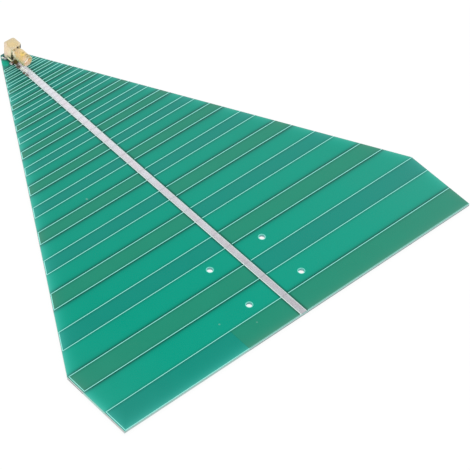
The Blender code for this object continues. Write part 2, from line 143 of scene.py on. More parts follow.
class AntennaColourSettings(bpy.types.PropertyGroup):
    """Colours of the board, the metals and the plastics."""

    gap: colour("Bare laminate", "Mask over laminate with no foil on either face", (0.001, 0.360, 0.247))
    through: colour("Foil behind", "Mask over laminate with foil on the far face", (0.006, 0.290, 0.218))
    foil: colour("Mask over foil", "Mask over foil on the near face", (0.0165, 0.289, 0.183))
    rim: colour("Lit rim", "Tint of the light let in at the cut edge", (0.18, 1.0, 0.92))
    rim_foil: colour("Lit rim on foil", "Tint of the light on foil near a cut edge", (0.55, 0.28, 0.35))
    edge_gap: colour("Cut edge", "Cut edge of bare laminate", (0.40, 0.84, 0.74))
    edge_back: colour("Cut edge by back foil", "Cut edge where the back face has foil", (0.50, 0.72, 0.68))
    edge_front: colour("Cut edge by front foil", "Cut edge where the front face has foil", (0.58, 0.84, 0.81))
    bare: colour("Bare laminate", "Ring without mask round each screw hole", (0.20, 0.80, 0.67))
    # Painted light: the hole walls are painted paler than the ring's top.
    bare_wall: colour("Bare wall", "Walls of the screw holes", (0.44, 0.87, 0.85))
    print_line: colour("Printed lines", "Pale lines printed round the strips", (0.38, 0.98, 0.88))
    print_white: colour("White print", "Printed lines along the feed line", (0.78, 0.92, 0.90))
    print_dim: colour("Dim print", "Print along the base edge", (0.24, 0.64, 0.54))
    # Painted shade laid over the outer side of the right feed line print.
    print_painted_shade: colour("Dark print", "Outer side of the right feed line print", (0.02, 0.17, 0.12))
    tin: colour("Tinning", "Bright tin on the feed lines", (0.62, 0.65, 0.69))
    tin_warm: colour("Warm tin", "Warmer streaks in the tin", (0.74, 0.60, 0.65))
    gold: colour("Gold plate", "Plating of the jack", (0.95, 0.77, 0.47))
    gold_pale: colour("Pale plate", "Thin, rubbed places in the plating", (0.99, 0.86, 0.64))
    gold_cap: colour("Cap plate", "Plating of the jack's cap", (1.0, 0.80, 0.42))
    gold_deep: colour("Yellow plate", "Yellow places on the jack's barrel", (0.92, 0.68, 0.20))
    # Painted shade for the jack's downward faces.
    gold_painted_shade: colour("Shaded plate", "Painted shade on downward faces of the jack", (0.12, 0.085, 0.030))
    plastic: colour("Core plastic", "Waxy white plastic in the jack", (0.95, 0.86, 0.78))


class AntennaJackSettings(bpy.types.PropertyGroup):
    """Sizes of the coaxial jack and its solder."""

    block_depth: length("Block depth", "Size of the block along the board", 2 * (BODY_HIGH.y - JACK_Y))
    block_height: length("Block height", "Height of the block", 8.7 * MM)
    corner_radius: length("Corner radius", "Radius of the block's upright corners", 1.5 * MM)
    top_radius: length("Top radius", "Radius along the block's top", 0.3 * MM)
    foot_radius: length("Foot radius", "Radius along the block's foot", 0.12 * MM)
    barrel_radius: length("Barrel radius", "Outside radius of the thread", 3.175 * MM)
    root_radius: length("Root radius", "Radius at the bottom of the thread", 2.76 * MM)
    thread_pitch: length("Thread pitch", "Distance between two turns of the thread", 0.7056 * MM)
    relief_radius: length("Relief radius", "Radius of the plain neck behind the thread", 2.75 * MM)
    relief_length: length("Relief length", "Length of the plain neck", 1.2 * MM)
    barrel_chamfer: length("Barrel chamfer", "Chamfer at the thread's ends", 0.35 * MM)
    mouth_radius: length("Mouth radius", "Radius of the bore in front of the core", 2.3 * MM)
    lip: length("Lip", "Chamfer at the mouth's edge", 0.15 * MM)
    leg_radius: length("Leg radius", "Radius of the four legs", 0.5 * MM)
    leg_pitch: length("Leg pitch", "Distance between the legs", 5.08 * MM)
    leg_chamfer: length("Leg chamfer", "Chamfer at the legs' tips", 0.2 * MM)
    socket_radius: length("Socket radius", "Radius of the hole in the centre contact", 0.46 * MM)
    socket_depth: length("Socket depth", "Depth of the hole in the centre contact", 3.0 * MM)
    slot_width: length("Slot width", "Width of the slots in the centre contact", 0.2 * MM)
    slot_depth: length("Slot depth", "Depth of the slots in the centre contact", 2.2 * MM)


class AntennaStageSettings(bpy.types.PropertyGroup):
    """Camera, floor and lights."""

    camera_place: place("Camera place", "Where the camera stands", (-0.61804, -0.68100, 0.98051))
    camera_turn: FloatVectorProperty(
        name="Camera turn", description="How the camera is turned", subtype="EULER", unit="ROTATION",
        default=(0.7334649, -0.0518225, -0.7297412),
    )
    lens: FloatProperty(name="Lens", description="Focal length in millimetres", default=201.3841)
    sensor: FloatProperty(name="Sensor", description="Sensor width in millimetres", default=36.0)
    floor_size: length("Floor size", "Side of the square floor", 8.0)
    overhead_place: place("Overhead place", "Where the overhead lamp hangs", (-0.2, -0.1, 2.2))
    overhead_size: length("Overhead size", "Side of the overhead lamp", 1.6)
    overhead_power: FloatProperty(name="Overhead power", description="The lamp's power in watts", default=7.0)
    side_place: place("Side place", "Where the side lamp hangs", (1.35, 0.65, 1.15))
    side_size: length("Side size", "Side of the side lamp", 0.9)
    side_power: FloatProperty(name="Side power", description="The lamp's power in watts", default=5.5)
    sky: FloatProperty(name="Sky", description="Strength of the plain white surroundings", default=0.75)


class AntennaSettings(bpy.types.PropertyGroup):
    """All settings of the antenna."""

    strips: PointerProperty(type=AntennaStripSettings)
    colours: PointerProperty(type=AntennaColourSettings)
    jack: PointerProperty(type=AntennaJackSettings)
    stage: PointerProperty(type=AntennaStageSettings)


# Shader wiring


MIX_INPUTS = (0, 6, 7)
MIX_OUTPUT = 2
POINT_SOCKETS = {"Point", "Place", "Along"}


class Wiring:
    """Short calls that add and join the nodes of one shader tree."""

    def __init__(self, tree):
        self.tree = tree

    def add(self, kind, **settings):
        """One new node with its settings."""
        node = self.tree.nodes.new(kind)
        for name, value in settings.items():
            setattr(node, name, value)
        return node

    def feed(self, socket, value):
        """Join another socket to this one, or write a plain value in it."""
        if isinstance(value, bpy.types.NodeSocket):
            self.tree.links.new(value, socket)
        elif socket.type == "RGBA" and len(value) == 3:
            socket.default_value = (*value, 1.0)
        else:
            socket.default_value = value

    def fill(self, node, names, values):
        """Feed the node's named sockets in turn, and return the node."""
        for name, value in zip(names, values):
            self.feed(node.inputs[name], value)
        return node

    def math(self, operation, *values):
        """One sum, with sockets or numbers."""
        node = self.add("ShaderNodeMath", operation=operation)
        return self.fill(node, range(3), values).outputs[0]

    def chain(self, operation, values):
        """One sum after the other over all the values, from left to right."""
        total = values[0]
        for value in values[1:]:
            total = self.math(operation, total, value)
        return total

    def times(self, *values):
        """The product of the values."""
        return self.chain("MULTIPLY", values)

    def plus(self, *values):
        """The sum of the values."""
        return self.chain("ADD", values)

    def larger(self, *values):
        """The largest of the values."""
        return self.chain("MAXIMUM", values)

    def smaller(self, *values):
        """The smallest of the values."""
        return self.chain("MINIMUM", values)

    def minus(self, value, other):
        """One value less another."""
        return self.math("SUBTRACT", value, other)

    def divide(self, value, other):
        """One value divided by another."""
        return self.math("DIVIDE", value, other)

    def absolute(self, value):
        """A value without its sign."""
        return self.math("ABSOLUTE", value)

    def below(self, value, limit):
        """1 where a value is less than the limit, or else 0."""
        return self.math("LESS_THAN", value, limit)

    def above(self, value, limit):
        """1 where a value is more than the limit, or else 0."""
        return self.math("GREATER_THAN", value, limit)

    def fade(self, distance, reach):
        """1 at no distance, dying away over a reach."""
        return self.math("EXPONENT", self.times(self.divide(distance, reach), -1.0))

    def vector(self, operation, *values):
        """One vector sum, with sockets or plain vectors."""
        node = self.fill(self.add("ShaderNodeVectorMath", operation=operation), range(2), values)
        return node.outputs["Value" if operation in {"LENGTH", "DISTANCE"} else "Vector"]

    def spread(self, value, low, high, at_low=0.0, at_high=1.0, smooth=False):
        """Map a value's range onto another, held at both ends."""
        node = self.add("ShaderNodeMapRange", interpolation_type="SMOOTHSTEP" if smooth else "LINEAR")
        names = ("Value", "From Min", "From Max", "To Min", "To Max")
        return self.fill(node, names, (value, low, high, at_low, at_high)).outputs["Result"]

    def between(self, share, at_zero, at_one):
        """Map 0 to 1 onto another range."""
        return self.spread(share, 0.0, 1.0, at_zero, at_one)

    def mix(self, factor, first, second, blend="MIX"):
        """Mix two colours."""
        node = self.add("ShaderNodeMix", data_type="RGBA", blend_type=blend)
        return self.fill(node, MIX_INPUTS, (factor, first, second)).outputs[MIX_OUTPUT]

    def tint(self, first, second):
        """One colour times another."""
        return self.mix(1.0, first, second, "MULTIPLY")

    def brighten(self, first, second):
        """One colour added to another."""
        return self.mix(1.0, first, second, "ADD")

    def noise(self, point, scale, detail, roughness):
        """Soft noise from 0 to 1."""
        names = ("Vector", "Scale", "Detail", "Roughness")
        node = self.fill(self.add("ShaderNodeTexNoise"), names, (point, scale, detail, roughness))
        return node.outputs["Fac"]

    def streaks(self, point, scales, roughness=0.65):
        """Noise with a scale of its own along each axis."""
        return self.noise(self.vector("MULTIPLY", point, scales), 1.0, 3.0, roughness)

    def split(self, point):
        """The three coordinates of a point."""
        return self.fill(self.add("ShaderNodeSeparateXYZ"), ["Vector"], [point]).outputs

    def normal(self, name):
        """The three parts of the surface's normal, true or smoothed."""
        return self.split(self.add("ShaderNodeNewGeometry").outputs[name])

    def seen_by(self, *rays):
        """1 for these kinds of rays, or else 0."""
        path = self.add("ShaderNodeLightPath").outputs
        return self.larger(*[path[f"Is {ray} Ray"] for ray in rays])

    def effect(self, name, **values):
        """Place one shared effect with its own values; an underscore stands for a space."""
        node = self.add("ShaderNodeGroup", node_tree=bpy.data.node_groups[name])
        return self.fill(node, [key.replace("_", " ") for key in values], values.values()).outputs


# Shared effects


def new_effect(name, takes, gives):
    """Start a shared effect; takes and gives list its socket names, most of them for numbers."""
    tree = bpy.data.node_groups.new(name, "ShaderNodeTree")
    for side, labels in (("INPUT", takes), ("OUTPUT", gives)):
        for label in labels:
            kind = "NodeSocketVector" if label in POINT_SOCKETS else "NodeSocketFloat"
            tree.interface.new_socket(label, in_out=side, socket_type=kind)
    wiring = Wiring(tree)
    start = wiring.add("NodeGroupInput").outputs
    finish = wiring.add("NodeGroupOutput").inputs
    return wiring, start, finish


def up_board(distance):
    """The Y at a distance in millimetres from the base edge."""
    return BOARD_LOW.y + distance * MM


def make_strip_pattern():
    """Which foils lie at a point, and how far it is from their edges."""
    w, start, finish = new_effect(
        "Strip pattern",
        ("Point", "Apex", "First Low", "First High", "Ratio", "Count", "Stub", "Feed Half"),
        ("Front Foil", "Back Foil", "Front Edge", "Any Edge", "Feed Edge"),
    )
    x, y, _ = w.split(start["Point"])
    across = w.absolute(x)
    to_apex = w.larger(w.minus(start["Apex"], y), MM)
    growth = w.divide(1.0, start["Ratio"])
    steps = w.math("LOGARITHM", w.divide(start["First Low"], to_apex), growth)
    index = w.math("FLOOR", w.larger(steps, 0.0))
    shrink = w.math("POWER", start["Ratio"], index)
    low = w.times(start["First Low"], shrink)
    high = w.times(start["First High"], shrink)
    from_low = w.absolute(w.minus(low, to_apex))
    from_low = w.plus(from_low, w.below(index, 0.5))
    inside = w.minus(to_apex, high)
    to_next = w.minus(to_apex, w.times(low, start["Ratio"]))
    counted = w.below(index, w.minus(start["Count"], 0.5))
    strip = w.times(w.above(inside, 0.0), counted)
    right = w.above(x, 0.0)
    odd = w.math("MODULO", index, 2.0)
    match = w.math("COMPARE", w.plus(odd, right), 1.0, 0.25)
    feed = w.below(across, start["Feed Half"])
    stub = w.times(w.below(across, start["Stub"]), w.below(index, 0.5))
    front = w.larger(match, stub, feed)
    front = w.larger(w.times(front, strip), feed)
    back = w.larger(w.times(w.minus(1.0, match), strip), feed)
    far = w.absolute(inside)
    ahead = w.absolute(to_next)
    own = w.plus(far, w.minus(1.0, match))
    following = w.plus(ahead, match)
    w.feed(finish["Front Foil"], front)
    w.feed(finish["Back Foil"], back)
    w.feed(finish["Front Edge"], w.smaller(own, following))
    w.feed(finish["Any Edge"], w.smaller(far, ahead, from_low))
    w.feed(finish["Feed Edge"], w.absolute(w.minus(across, start["Feed Half"])))


def make_board_outline():
    """How far a point of the board lies inside its outline."""
    w, start, finish = new_effect(
        "Board outline", ("Point", "Half Width", "Base", "Shoulder", "Tip", "Slope"), ("Inside",),
    )
    x, y, _ = w.split(start["Point"])
    to_side = w.minus(start["Half Width"], w.absolute(x))
    climb = w.times(w.minus(y, start["Shoulder"]), start["Slope"])
    lean = w.math("SQRT", w.math("MULTIPLY_ADD", start["Slope"], start["Slope"], 1.0))
    to_slant = w.divide(w.minus(to_side, climb), lean)
    ends = w.smaller(w.minus(y, start["Base"]), w.minus(start["Tip"], y))
    w.feed(finish["Inside"], w.smaller(to_side, to_slant, ends))


def make_mask_skin():
    """Cured solder mask: soft blotches, a faint cloth weave below it, and its orange-peel skin."""
    w, start, finish = new_effect("Mask skin", ("Point", "Blotch", "Weave"), ("Tone", "Height", "Gloss"))
    blotch = w.noise(start["Point"], 90.0, 4.0, 0.6)
    grain = w.noise(start["Point"], 900.0, 2.0, 0.6)
    x, y, _ = w.split(start["Point"])
    turns = 2 * math.pi / WEAVE_PITCH
    warp = w.math("SINE", w.times(x, turns))
    weft = w.math("SINE", w.times(y, turns))
    weave = w.times(warp, weft, start["Weave"])
    tone = w.math("MULTIPLY_ADD", w.minus(blotch, 0.5), start["Blotch"], 1.0)
    tone = w.math("MULTIPLY_ADD", w.minus(grain, 0.5), 0.05, tone)
    w.feed(finish["Tone"], w.plus(tone, weave))
    w.feed(finish["Height"], w.plus(w.times(blotch, 0.6), w.times(grain, 0.15)))
    w.feed(finish["Gloss"], w.spread(blotch, 0.3, 0.7, 0.26, 0.36))


def make_ragged_spot():
    """A ragged spot round one place."""
    w, start, finish = new_effect("Ragged spot", ("Point", "Place", "Radius", "Ragged"), ("Mask",))
    away = w.vector("DISTANCE", start["Point"], start["Place"])
    ragged = w.minus(w.noise(start["Point"], 1400.0, 3.0, 0.6), 0.5)
    away = w.math("MULTIPLY_ADD", w.times(ragged, start["Ragged"]), start["Radius"], away)
    share = w.divide(away, start["Radius"])
    w.feed(finish["Mask"], w.spread(share, 0.55, 1.1, 1.0, 0.0, smooth=True))


def make_scratches():
    """Sparse fine scratches along one direction."""
    w, start, finish = new_effect("Scratches", ("Point", "Along", "Density"), ("Mask",))
    fine = w.streaks(start["Point"], start["Along"], 0.7)
    patch = w.noise(start["Point"], 130.0, 2.0, 0.5)
    near = w.absolute(w.minus(fine, 0.5))
    line = w.spread(near, 0.0, 0.012, 1.0, 0.0)
    place = w.spread(patch, w.minus(0.72, start["Density"]), 0.75)
    w.feed(finish["Mask"], w.times(line, place))


def make_metal_skin():
    """Plating or solder: cloudy tone, fine grain and a rippled skin."""
    w, start, finish = new_effect(
        "Metal skin", ("Point", "Cloud", "Grain", "Ripple"), ("Cloudy", "Fine", "Height"),
    )
    cloudy = w.noise(start["Point"], start["Cloud"], 4.0, 0.6)
    fine = w.noise(start["Point"], start["Grain"], 3.0, 0.6)
    ripple = w.times(cloudy, start["Ripple"])
    w.feed(finish["Cloudy"], w.spread(cloudy, 0.32, 0.68))
    w.feed(finish["Fine"], w.spread(fine, 0.3, 0.7))
    w.feed(finish["Height"], w.plus(ripple, w.times(fine, 0.2)))


def make_edge_shadow():
    """A dark line beside a foil's edge: painted shade beside the foil's step, where the mask also runs
    thinner down it.
    """
    w, start, finish = new_effect("Edge shadow", ("Distance", "Hold", "Reach", "Depth"), ("Tone",))
    past = w.larger(w.minus(start["Distance"], start["Hold"]), 0.0)
    shadow = w.times(w.fade(past, start["Reach"]), start["Depth"])
    w.feed(finish["Tone"], w.minus(1.0, shadow))


def make_painted_light_drift():
    """Slow changes over the board, painted in: a painted glow of light let in at its cut edges, a painted
    sheen of reflected light to the right and towards the tip, and a factor that darkens towards the tip.
    """
    w, start, finish = new_effect(
        "Painted light drift", ("Point", "Inside", "Reach"), ("Painted Rim Light", "Glow", "Painted Sheen", "Fade"),
    )
    x, y, _ = w.split(start["Point"])
    fade = w.fade(start["Inside"], start["Reach"])
    # Painted light: the rim glow fades in from the cut edges, stronger on the left.
    w.feed(finish["Painted Rim Light"], w.times(fade, w.spread(x, -20 * MM, 20 * MM, 0.20, 0.11)))
    w.feed(finish["Glow"], w.times(w.math("POWER", fade, 3.0), 0.05))
    # Painted sheen of reflected light, rising towards the tip, to the right and near the base corners.
    to_tip = w.spread(y, up_board(60), up_board(190), 0.0, 0.018)
    corner = w.spread(w.absolute(x), 70 * MM, 110 * MM, 0.0, 0.010)
    corner = w.times(corner, w.spread(y, up_board(30), up_board(75), 1.0, 0.0))
    to_right = w.spread(x, -20 * MM, 80 * MM, 0.0, 0.009)
    w.feed(finish["Painted Sheen"], w.plus(to_tip, to_right, corner))
    w.feed(finish["Fade"], w.spread(y, up_board(20), up_board(180), 1.0, 0.90))


# Colours, marks and painted light


NO_LIGHT = (0.0, 0.0, 0.0)
WHITE_LIGHT = (1.0, 1.0, 1.0, 1.0)
FLOOR_GREY = (0.85, 0.85, 0.85)
FLOOR_SEEN = (0.08, 0.08, 0.08)
# Tints of the painted warm glow and the painted sheen.
PAINTED_GLOW_TINT = (1.0, 0.1, 0.25)
PAINTED_SHEEN_TINT = (1.0, 0.05, 0.65)
LEFT_EDGE_PAINTED_LIGHT = (1.45, 1.06, 1.09)
LOW_EDGE_PAINTED_SHADE = (0.12, 0.14, 0.14)
SCRATCHED_MASK = (0.12, 0.42, 0.30)
THIN_INK_TINT = (0.6, 0.78, 0.70)
INK_EDGE_MASK_AND_SHADE = (0.02, 0.30, 0.20)
FROST = (0.36, 0.35, 0.33)
BURNT_FLUX = (0.13, 0.09, 0.045)
FOOT_PAINTED_HIGHLIGHT = (1.0, 0.92, 0.72)
FOOT_PAINTED_GLINT = (1.0, 0.76, 0.48)
SCRATCHED_GOLD = (0.42, 0.30, 0.16)
CORE_PAINTED_GLOW = (1.0, 0.78, 0.62, 1.0)
DULL_PLASTIC = (0.72, 0.66, 0.55)
DARK = (0.028, 0.016, 0.003)
BROWN = (0.16, 0.10, 0.045)
RUST = (0.36, 0.13, 0.045)
BLACK = (0.004, 0.004, 0.003)
PALE_GREEN = (0.35, 0.62, 0.52)
PAINTED_LIGHT_GREEN = (0.012, 0.60, 0.40)
PAINTED_LIGHT_WHITE = (0.95, 1.0, 0.93)
DARK_FLUX_AND_SHADE = (0.10, 0.09, 0.06)
FLUX_AND_SHADE = (0.20, 0.145, 0.035)
UMBER = (0.17, 0.11, 0.075)
PINK = (0.93, 0.66, 0.50)
CREAM_HIGHLIGHT = (1.0, 0.93, 0.76)
YELLOW_HIGHLIGHT = (1.0, 0.80, 0.28)
OLIVE_SHADE = (0.30, 0.26, 0.12)
GREY = (0.50, 0.45, 0.38)
STRAW = (1.0, 0.92, 0.62)
HONEY = (1.0, 0.86, 0.56)
BLUSH = (1.0, 0.84, 0.72)
SHELL = (1.0, 0.82, 0.66)
AMBER = (1.0, 0.82, 0.50)
ROSE = (1.0, 0.80, 0.66)
SAND = (1.0, 0.80, 0.50)
PEACH = (1.0, 0.78, 0.55)
APRICOT = (1.0, 0.77, 0.50)
BRONZE = (0.84, 0.60, 0.25)

# Each mark is its place in millimetres (see board_place), its radius, its strength and its colour. Many marks
# are painted highlights, painted light and painted shade, as the comments above them say.
BOARD_MARKS = (
    (-34.2, 125.2, 3.1, 0.7, 0.35, PALE_GREEN),
    (-37.1, 20.8, 3.1, 0.6, 0.3, PALE_GREEN),
    (-22.0, 10.2, 3.1, 0.5, 0.25, PALE_GREEN),
    (-2.1, 215.6, 3.1, 0.75, 0.75, BROWN),
    (-1.9, 212.7, 3.1, 0.6, 0.6, BROWN),
    # The next six marks, under the jack's block and barrel, are flux stains and painted shade together.
    (0.3, 226.4, 3.1, 1.9, 0.92, FLUX_AND_SHADE),
    (-0.4, 224.6, 3.1, 1.4, 0.9, FLUX_AND_SHADE),
    (-0.9, 223.0, 3.1, 0.9, 0.75, BROWN),
    (-1.5, 221.8, 3.1, 0.7, 0.8, BLACK),
    (-1.8, 226.1, 3.1, 0.7, 0.8, RUST),
    (-2.7, 224.2, 3.1, 0.6, 0.9, BLACK),
    # Painted light: a bright green pool on the board between the jack's left legs, where the jack shades it.
    (-5.3, 227.4, 3.1, 2.3, 0.75, PAINTED_LIGHT_GREEN),
    (-6.2, 229.6, 3.1, 1.6, 0.5, PAINTED_LIGHT_GREEN),
    # The next mark is a painted highlight: a white glint on the board by the back left pad.
    (-3.6, 231.9, 3.1, 0.8, 0.95, PAINTED_LIGHT_WHITE),
    (-2.72, 232.23, 3.1, 0.5, 0.9, BLACK),
    # The next two marks are painted light on the tinned band, where the barrel shades it.
    (-0.6, 219.0, 3.1, 1.2, 0.95, PAINTED_LIGHT_WHITE),
    (-0.5, 216.6, 3.1, 1.4, 0.7, PAINTED_LIGHT_WHITE),
    # The last four marks, under the barrel and beside the band, are flux stains and painted shade together.
    (-0.9, 221.3, 3.1, 1.0, 0.9, DARK_FLUX_AND_SHADE),
    (-1.8, 220.9, 3.1, 1.2, 0.8, UMBER),
    (-1.9, 215.9, 3.1, 0.9, 0.6, UMBER),
    (-1.8, 213.5, 3.1, 1.0, 0.75, UMBER),
)
JOINT_MARKS = (
    (-2.6, 224.7, 4.2, 0.75, 0.95, RUST),
    (-2.4, 224.4, 3.3, 0.6, 0.95, BLACK),
    (-1.7, 225.2, 3.6, 0.7, 0.8, BROWN),
    (-3.1, 230.4, 4.0, 0.6, 0.7, DARK),
    (2.5, 225.4, 3.6, 0.9, 0.7, BROWN),
)
# Most of the jack's marks are painted highlights, painted light and painted shade, as the comments above them
# say.
JACK_MARKS = (
    (-3.6, 228.3, 10.3, 4.6, 0.7, APRICOT),
    # Painted shade on the block's front face round the top of the barrel, and in the groove where they meet.
    (0.7, 224.4, 13.6, 0.75, 0.97, DARK),
    (2.9, 224.6, 13.5, 0.95, 1.0, BLACK),
    (2.4, 224.42, 13.1, 0.55, 0.9, DARK),
    (3.0, 224.6, 12.5, 1.0, 1.0, BLACK),
    (-1.73, 224.4, 13.2, 0.5, 0.8, BROWN),
    # Painted highlight down the left part of the block's front face.
    (-2.5, 224.45, 12.3, 0.9, 0.9, CREAM_HIGHLIGHT),
    (-2.2, 224.4, 11.2, 0.7, 0.7, CREAM_HIGHLIGHT),
    # Painted shade: the dark wedge at the block's front left corner.
    (-3.1, 224.8, 11.6, 0.4, 0.6, DARK),
    (-3.1, 224.8, 10.7, 0.55, 0.85, DARK),
    (-3.0, 224.7, 9.5, 0.75, 0.9, DARK),
    (-2.9, 224.65, 8.2, 0.95, 0.95, DARK),
    (-2.9, 224.7, 7.1, 0.95, 0.95, DARK),
    (-3.6, 225.8, 7.5, 0.7, 0.9, DARK),
    (-3.6, 227.1, 7.6, 0.75, 0.8, BROWN),
    (-3.6, 229.2, 8.6, 1.5, 0.7, PINK),
    (-3.6, 226.1, 11.0, 1.3, 0.8, STRAW),
    (-3.6, 230.2, 13.2, 1.4, 0.3, GREY),
    (-3.6, 230.0, 13.4, 1.6, 0.5, ROSE),
    # Painted highlight on top of the barrel, with a painted shade line beside it.
    (-0.7, 218.9, 13.5, 1.45, 0.8, YELLOW_HIGHLIGHT),
    (0.3, 220.3, 13.4, 1.2, 0.35, YELLOW_HIGHLIGHT),
    (0.34, 219.4, 13.7, 0.6, 0.85, OLIVE_SHADE),
    (-1.2, 222.3, 12.6, 1.0, 0.35, PINK),
    # Painted light in the barrel's mouth and on its end face.
    (0.4, 216.2, 8.6, 1.9, 0.75, BLUSH),
    (-1.2, 215.1, 8.6, 1.1, 0.85, SHELL),
    (-1.75, 215.6, 12.9, 1.2, 0.8, PEACH),
    # Painted highlight along the barrel's lower left edge.
    (-2.9, 222.6, 11.1, 1.3, 0.95, CREAM_HIGHLIGHT),
    (-3.1, 220.6, 10.2, 1.0, 0.8, HONEY),
    (-3.1, 218.6, 9.9, 1.1, 0.6, AMBER),
    (-2.9, 216.6, 9.4, 1.2, 0.6, SAND),
    # Painted shade along the barrel's upper right edge and by its end.
    (1.4, 217.2, 13.4, 1.0, 0.7, OLIVE_SHADE),
    (1.5, 215.8, 13.1, 0.75, 0.85, OLIVE_SHADE),
    (0.28, 215.7, 13.6, 0.6, 0.7, OLIVE_SHADE),
    (0.15, 217.2, 13.7, 0.45, 0.45, OLIVE_SHADE),
    (1.6, 215.0, 11.2, 1.2, 0.25, OLIVE_SHADE),
    (-2.75, 225.0, 4.3, 0.6, 0.9, RUST),
    (-2.6, 225.0, 3.5, 0.5, 0.95, BLACK),
)
CAP_MARKS = (
    (0.2, 230.6, 14.5, 1.0, 0.2, GREY),
    (-0.6, 227.4, 14.5, 1.6, 0.4, BRONZE),
)


# Materials


def new_material(name, **sockets):
    """A Principled material whose uniform values are set on the shader itself."""
    material = bpy.data.materials.new(name)
    material.use_nodes = True
    shader = material.node_tree.nodes["Principled BSDF"]
    for key, value in sockets.items():
        shader.inputs[key.replace("_", " ")].default_value = value
    wiring = Wiring(material.node_tree)
    point = wiring.add("ShaderNodeTexCoord").outputs["Object"]
    return material, wiring, shader, point


def paint(w, shader, base, roughness, height, strength, depth):
    """Feed a shader's colour, its roughness and, from a height, its normal."""
    names = ("Strength", "Distance", "Height")
    bump = w.fill(w.add("ShaderNodeBump"), names, (strength, depth, height))
    w.fill(shader, ("Base Color", "Roughness", "Normal"), (base, roughness, bump.outputs["Normal"]))


def strip_ratio(strips):
    """How much nearer to the apex each strip is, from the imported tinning's end."""
    last = strips.apex - TINNING_HIGH.y
    return (last / strips.first_high) ** (1 / (strips.count - 1))


def place_strips(w, point, strips):
    """The strip pattern with this antenna's own sizes."""
    return w.effect(
        "Strip pattern", Point=point, Apex=strips.apex, First_Low=strips.first_low,
        First_High=strips.first_high, Ratio=strip_ratio(strips), Count=strips.count,
        Stub=strips.stub, Feed_Half=strips.feed_half,
    )


def place_painted_light(w, point, strips):
    """The painted light's slow changes over this antenna's own board."""
    slant = BOARD_HIGH.y - BOARD_LOW.y - strips.straight_side
    outline = w.effect(
        "Board outline", Point=point, Half_Width=BOARD_HIGH.x, Base=BOARD_LOW.y,
        Shoulder=BOARD_LOW.y + strips.straight_side, Tip=BOARD_HIGH.y,
        Slope=(BOARD_HIGH.x - strips.tip_half) / slant,
    )
    return w.effect("Painted light drift", Point=point, Inside=outline["Inside"], Reach=RIM_REACH)


def board_place(x, y, z):
    """A spot of the antenna: millimetres across, up from the base edge, and above the floor."""
    return (x * MM, up_board(y), z * MM)


def add_marks(w, point, base, marks):
    """Lay ragged marks over a colour, each on top of the one before; the marks are stains and also painted
    highlights and painted shade.
    """
    for x, y, z, radius, strength, mark_colour in marks:
        spot = w.effect("Ragged spot", Point=point, Place=board_place(x, y, z), Radius=radius * MM, Ragged=0.9)
        base = w.mix(w.times(spot["Mask"], strength), base, mark_colour)
    return base


def shade_edge(w, distance, hold, reach, depth):
    """The tone beside an edge, with lengths in millimetres."""
    shadow = w.effect("Edge shadow", Distance=distance, Hold=hold * MM, Reach=reach * MM, Depth=depth)
    return shadow["Tone"]


def shade_edges(w, pattern, tone):
    """Darken a tone with painted shade beside every foil's edge and beside the feed line."""
    every = shade_edge(w, pattern["Any Edge"], 0.8, 0.4, 0.2)
    return w.times(every, shade_edge(w, pattern["Feed Edge"], 0.55, 0.35, 0.5), tone)


def add_painted_light(w, base, drift, tint, share):
    """Add the painted rim light, at one share, its painted warm glow and the painted sheen to a colour."""
    base = w.brighten(base, w.tint(tint, w.times(drift["Painted Rim Light"], share)))
    base = w.brighten(base, w.tint(PAINTED_GLOW_TINT, drift["Glow"]))
    return w.brighten(base, w.tint(PAINTED_SHEEN_TINT, drift["Painted Sheen"]))


def make_laminate_material(settings):
    """Solder mask on laminate: the far foil shows through, with painted shade beside the foils' edges and a
    painted glow near the cut edges; the cut edges themselves are painted lighter where they face left and
    darker low down under the front foil.
    """
    colours = settings.colours
    material, w, shader, point = new_material("mask_on_laminate", Specular_IOR_Level=0.05)
    pattern = place_strips(w, point, settings.strips)
    drift = place_painted_light(w, point, settings.strips)
    skin = w.effect("Mask skin", Point=point, Blotch=0.07, Weave=0.012)
    leftward, _, facing = w.normal("True Normal")
    side = w.below(w.absolute(facing), 0.5)

    behind = w.mix(w.below(facing, -0.5), pattern["Back Foil"], pattern["Front Foil"])
    flat = w.mix(behind, w.tint(colours.gap, drift["Fade"]), colours.through)
    # Painted shade in the gap beside each front foil's edge.
    front_edge_shade = shade_edge(w, pattern["Front Edge"], 0.65, 0.8, 0.52)
    flat = w.tint(flat, shade_edges(w, pattern, w.times(front_edge_shade, skin["Tone"])))
    flat = add_painted_light(w, flat, drift, colours.rim, w.between(pattern["Back Foil"], 1.0, 0.8))
    flat = add_marks(w, point, flat, BOARD_MARKS)

    edge = w.mix(pattern["Back Foil"], colours.edge_gap, colours.edge_back)
    edge = w.mix(pattern["Front Foil"], edge, colours.edge_front)
    fibres = w.streaks(point, (1200.0, 1200.0, 9000.0))
    edge = w.tint(edge, w.spread(fibres, 0.2, 0.8, 0.86, 1.08))
    # Painted light: cut edges that face left are painted lighter.
    edge = w.mix(w.below(leftward, -0.7), edge, w.tint(edge, LEFT_EDGE_PAINTED_LIGHT))
    # Painted shade: the lower part of the cut edge under the front foil is painted darker.
    dark_to, clear_from = BOARD_LOW.z + 0.1 * MM, BOARD_LOW.z + 1.0 * MM
    low = w.spread(w.split(point)[2], dark_to, clear_from, 1.0, 0.0)
    edge = w.mix(w.times(low, 0.85, pattern["Front Foil"]), edge, LOW_EDGE_PAINTED_SHADE)

    roughness = w.larger(skin["Gloss"], w.times(side, 0.7))
    height = w.plus(skin["Height"], w.times(fibres, side, 3.0))
    paint(w, shader, w.mix(side, flat, edge), roughness, height, 0.25, MASK_DEPTH)
    return material


